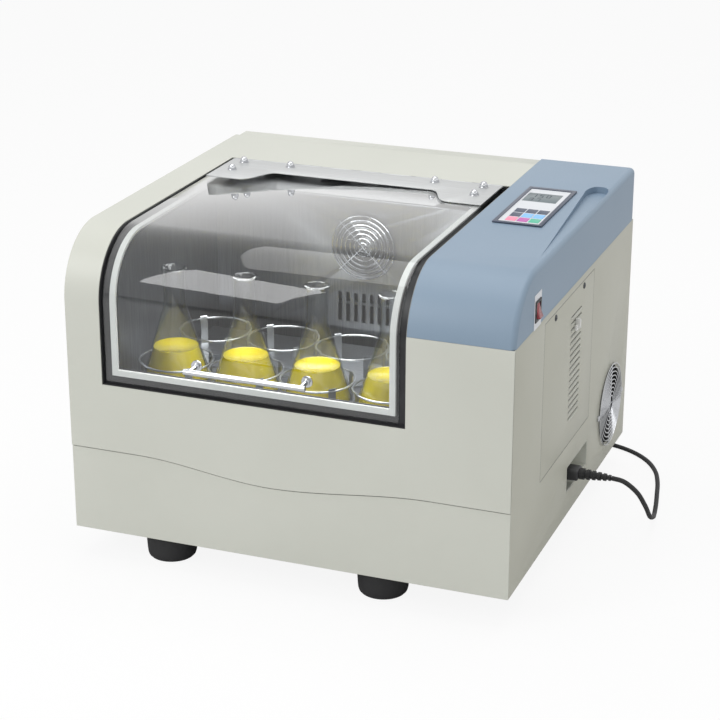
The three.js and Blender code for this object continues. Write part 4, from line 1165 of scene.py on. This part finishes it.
@dataclass
class MainsCord:
    """The mains lead: out of the connector, down to the bench, back and into a coil with its plug."""

    radius: float = 3.5
    boot_end: float = 378.0
    inlet_y: float = 308.0
    inlet_z: float = 103.0
    coil: Point2 = (90.0, 684.0)
    coil_outer: float = 49.0
    length: float = 1.8

    def route(self) -> list[Vector]:
        """Returns the points of the run from the boot to the coil."""
        e, y, z0 = self.boot_end, self.inlet_y, self.inlet_z
        z = self.radius + 0.1
        cx, cy = self.coil
        rim = cy - self.coil_outer - self.radius
        spots = [(e + 0.9, y, z0), (e + 18, y + 1, z0 - 3), (e + 36, y + 9, z0 - 20),
                 (e + 46, y + 24, z0 - 46),
                 (e + 49, y + 46, z0 - 72), (e + 47, y + 76, z + 13), (e + 42, y + 108, z + 1.5),
                 (e + 36, y + 145, z), (e + 28, y + 186, z), (e + 19, y + 228, z), (e + 6, y + 268, z),
                 (e - 16, y + 304, z), (e - 47, y + 331, z), (e - 85, y + 347, z), (e - 127, y + 351, z),
                 (e - 172, y + 346, z), (e - 214, y + 335, z), (e - 246, y + 327, z),
                 (cx + 12, rim - 0.9, z), (cx - 2, rim - 0.5, z)]
        return [Vector(p) for p in spots]

    @staticmethod
    def smooth_path(points: list[Vector], steps: int = 8) -> list[Vector]:
        """Returns a centripetal curve through the points."""
        padded = [2 * points[0] - points[1], *points, 2 * points[-1] - points[-2]]
        line = []
        for p0, p1, p2, p3 in zip(padded, padded[1:], padded[2:], padded[3:]):
            t1 = (p1 - p0).length ** 0.5
            t2 = t1 + (p2 - p1).length ** 0.5
            t3 = t2 + (p3 - p2).length ** 0.5
            for i in range(steps):
                t = t1 + (t2 - t1) * i / steps
                a1 = p0 * ((t1 - t) / t1) + p1 * (t / t1)
                a2 = p1 * ((t2 - t) / (t2 - t1)) + p2 * ((t - t1) / (t2 - t1))
                a3 = p2 * ((t3 - t) / (t3 - t2)) + p3 * ((t - t2) / (t3 - t2))
                b1 = a1 * ((t2 - t) / t2) + a2 * (t / t2)
                b2 = a2 * ((t3 - t) / (t3 - t1)) + a3 * ((t - t1) / (t3 - t1))
                line.append(b1 * ((t2 - t) / (t2 - t1)) + b2 * ((t - t1) / (t2 - t1)))
        line.append(points[-1].copy())
        return line

    def turns(self) -> list[Vector]:
        """Returns the coil: a layer wound inwards, then one wound outwards on top of it."""
        cx, cy = self.coil
        low, high = self.radius + 0.1, self.radius + 7.3
        line = []
        for degree in range(8, 1621, 8):
            if degree < 60:
                share = degree / 60
                r = 53.0 - 7.5 * (3 * share ** 2 - 2 * share ** 3)
            elif degree <= 780:
                r = 45.5 - 7.2 * (degree - 60) / 360
            elif degree <= 870:
                r = 31.1
            else:
                r = 31.1 + 14.4 * (degree - 870) / 750
            rise = max(0.0, min(1.0, (degree - 760) / 120))
            z = low + (high - low) * (3 * rise ** 2 - 2 * rise ** 3)
            turn = math.radians(degree)
            line.append(Vector((cx - r * math.sin(turn), cy - r * math.cos(turn), z)))
        return line

    def build(self) -> None:
        plug_x = self.coil[0] + 28
        line = self.smooth_path(self.route()) + self.turns()
        last = line[-1]
        line += [Vector((last.x + 9, last.y, last.z)), Vector((plug_x + 3, last.y, last.z - 0.2))]
        curve = bpy.data.curves.new("mains_lead", "CURVE")
        curve.dimensions = "3D"
        curve.bevel_depth = self.radius / 1000
        curve.bevel_resolution = 3
        curve.use_fill_caps = True
        spline = curve.splines.new("POLY")
        spline.points.add(len(line) - 1)
        for spot, point in zip(line, spline.points):
            point.co = (*(ROW @ spot), 1.0)
        lead = bpy.data.objects.new("mains_lead", curve)
        bpy.context.scene.collection.objects.link(lead)
        curve.materials.append(RUBBER.material())
        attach(lead, "housing")
        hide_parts("power_cord", "cord_coil")
        total = sum((b - a).length for a, b in zip(line, line[1:])) / 1000
        LOG.info("mains_lead: %.3f m", total)
        dress("mains_plug", BLACK, 1.2)


# ---------------------------------------------------------------- room, light and camera


@dataclass
class Studio:
    """The pale floor, soft light and the camera."""

    place: Point3 = (1.0035, -2.6369, 1.3099)
    azimuth: float = 0.3648
    elevation: float = 0.3632
    roll: float = 0.0013
    lens: float = 103.42

    def camera(self) -> None:
        """Places the camera."""
        data = bpy.data.cameras.new("camera")
        data.sensor_width = 36.0
        data.lens = self.lens
        data.clip_end = 50.0
        a, e, r = self.azimuth, self.elevation, self.roll
        ahead = Vector((-math.sin(a) * math.cos(e), math.cos(a) * math.cos(e), -math.sin(e)))
        right = Vector((math.cos(a), math.sin(a), 0.0))
        up = right.cross(ahead)
        right, up = math.cos(r) * right + math.sin(r) * up, math.cos(r) * up - math.sin(r) * right
        made = bpy.data.objects.new("camera", data)
        bpy.context.scene.collection.objects.link(made)
        made.matrix_world = Matrix.Translation(self.place) @ Matrix((right, up, -ahead)).transposed().to_4x4()
        bpy.context.scene.camera = made

    def lamp(self, name: str, spot: Point3, aim: Point3, size: float, power: float) -> None:
        """Adds a soft square lamp.

        Args:
            name: the lamp's name.
            spot: where it hangs.
            aim: what it points at.
            size: its side.
            power: its power in watts.
        """
        data = bpy.data.lights.new(name, "AREA")
        data.size = size
        data.energy = power
        made = bpy.data.objects.new(name, data)
        made.location = spot
        made.rotation_euler = (Vector(aim) - Vector(spot)).to_track_quat("-Z", "Y").to_euler()
        bpy.context.scene.collection.objects.link(made)

    def light(self) -> None:
        """Sets the world and the lamps at a plain level."""
        world = bpy.data.worlds.new("studio")
        bpy.context.scene.world = world
        world.use_nodes = True
        nodes, links = world.node_tree.nodes, world.node_tree.links
        back = nodes["Background"]
        back.inputs["Color"].default_value = (1, 1, 1, 1)
        ray = nodes.new("ShaderNodeLightPath")
        strength = nodes.new("ShaderNodeMapRange")
        strength.inputs["To Min"].default_value = 0.55
        strength.inputs["To Max"].default_value = 1.0
        seen = nodes.new("ShaderNodeMath")
        seen.operation = "MAXIMUM"
        links.new(ray.outputs["Is Camera Ray"], seen.inputs[0])
        links.new(ray.outputs["Is Glossy Ray"], seen.inputs[1])
        links.new(seen.outputs[0], strength.inputs["Value"])
        links.new(strength.outputs["Result"], back.inputs["Strength"])
        self.lamp("key", (-1.6, -2.6, 2.4), (0, 0, 0.25), 1.8, 46.0)
        self.lamp("overhead", (0.0, 0.2, 2.6), (0, 0, 0.4), 2.2, 26.0)
        self.lamp("side", (2.8, 0.2, 1.2), (0.2, 0, 0.25), 1.6, 6.0)
        self.lamp("chamber", (-0.07, -0.06, 0.455), (-0.07, -0.03, 0.2), 0.32, 2.0)
        bpy.data.objects["chamber"].visible_camera = False

    def floor(self) -> None:
        """Adds the pale floor, which keeps the shadow."""
        bm = bmesh.new()
        bmesh.ops.create_grid(bm, x_segments=2, y_segments=2, size=12.0)
        mesh = bpy.data.meshes.new("floor")
        bm.to_mesh(mesh)
        bm.free()
        made = bpy.data.objects.new("floor", mesh)
        made.location.z = -0.0005
        bpy.context.scene.collection.objects.link(made)
        paint = bpy.data.materials.new("pale_floor")
        paint.use_nodes = True
        nodes, links = paint.node_tree.nodes, paint.node_tree.links
        shader = nodes["Principled BSDF"]
        shader.inputs["Base Color"].default_value = (0.85, 0.85, 0.85, 1)
        shader.inputs["Roughness"].default_value = 0.9
        glow = nodes.new("ShaderNodeEmission")
        ray = nodes.new("ShaderNodeLightPath")
        share = nodes.new("ShaderNodeMath")
        share.operation = "MULTIPLY"
        share.inputs[1].default_value = 0.9
        links.new(ray.outputs["Is Camera Ray"], share.inputs[0])
        mix = nodes.new("ShaderNodeMixShader")
        links.new(share.outputs[0], mix.inputs["Fac"])
        links.new(shader.outputs["BSDF"], mix.inputs[1])
        links.new(glow.outputs["Emission"], mix.inputs[2])
        links.new(mix.outputs["Shader"], nodes["Material Output"].inputs["Surface"])
        mesh.materials.append(paint)

    def build(self) -> None:
        """Builds the room, once the camera stands."""
        bpy.context.scene.view_settings.view_transform = "Standard"
        self.light()
        self.floor()


def main() -> None:
    """Builds the shaker and its room, the camera and the cord first."""
    logging.basicConfig(level=logging.INFO, format="%(message)s")
    studio = Studio()
    studio.camera()
    MainsCord().build()
    Housing().build()
    ControlCover().build()
    Lid().build()
    Chamber().build()
    FlaskLoad().build()
    RightSide().build()
    studio.build()


if __name__ == "__main__":
    main()
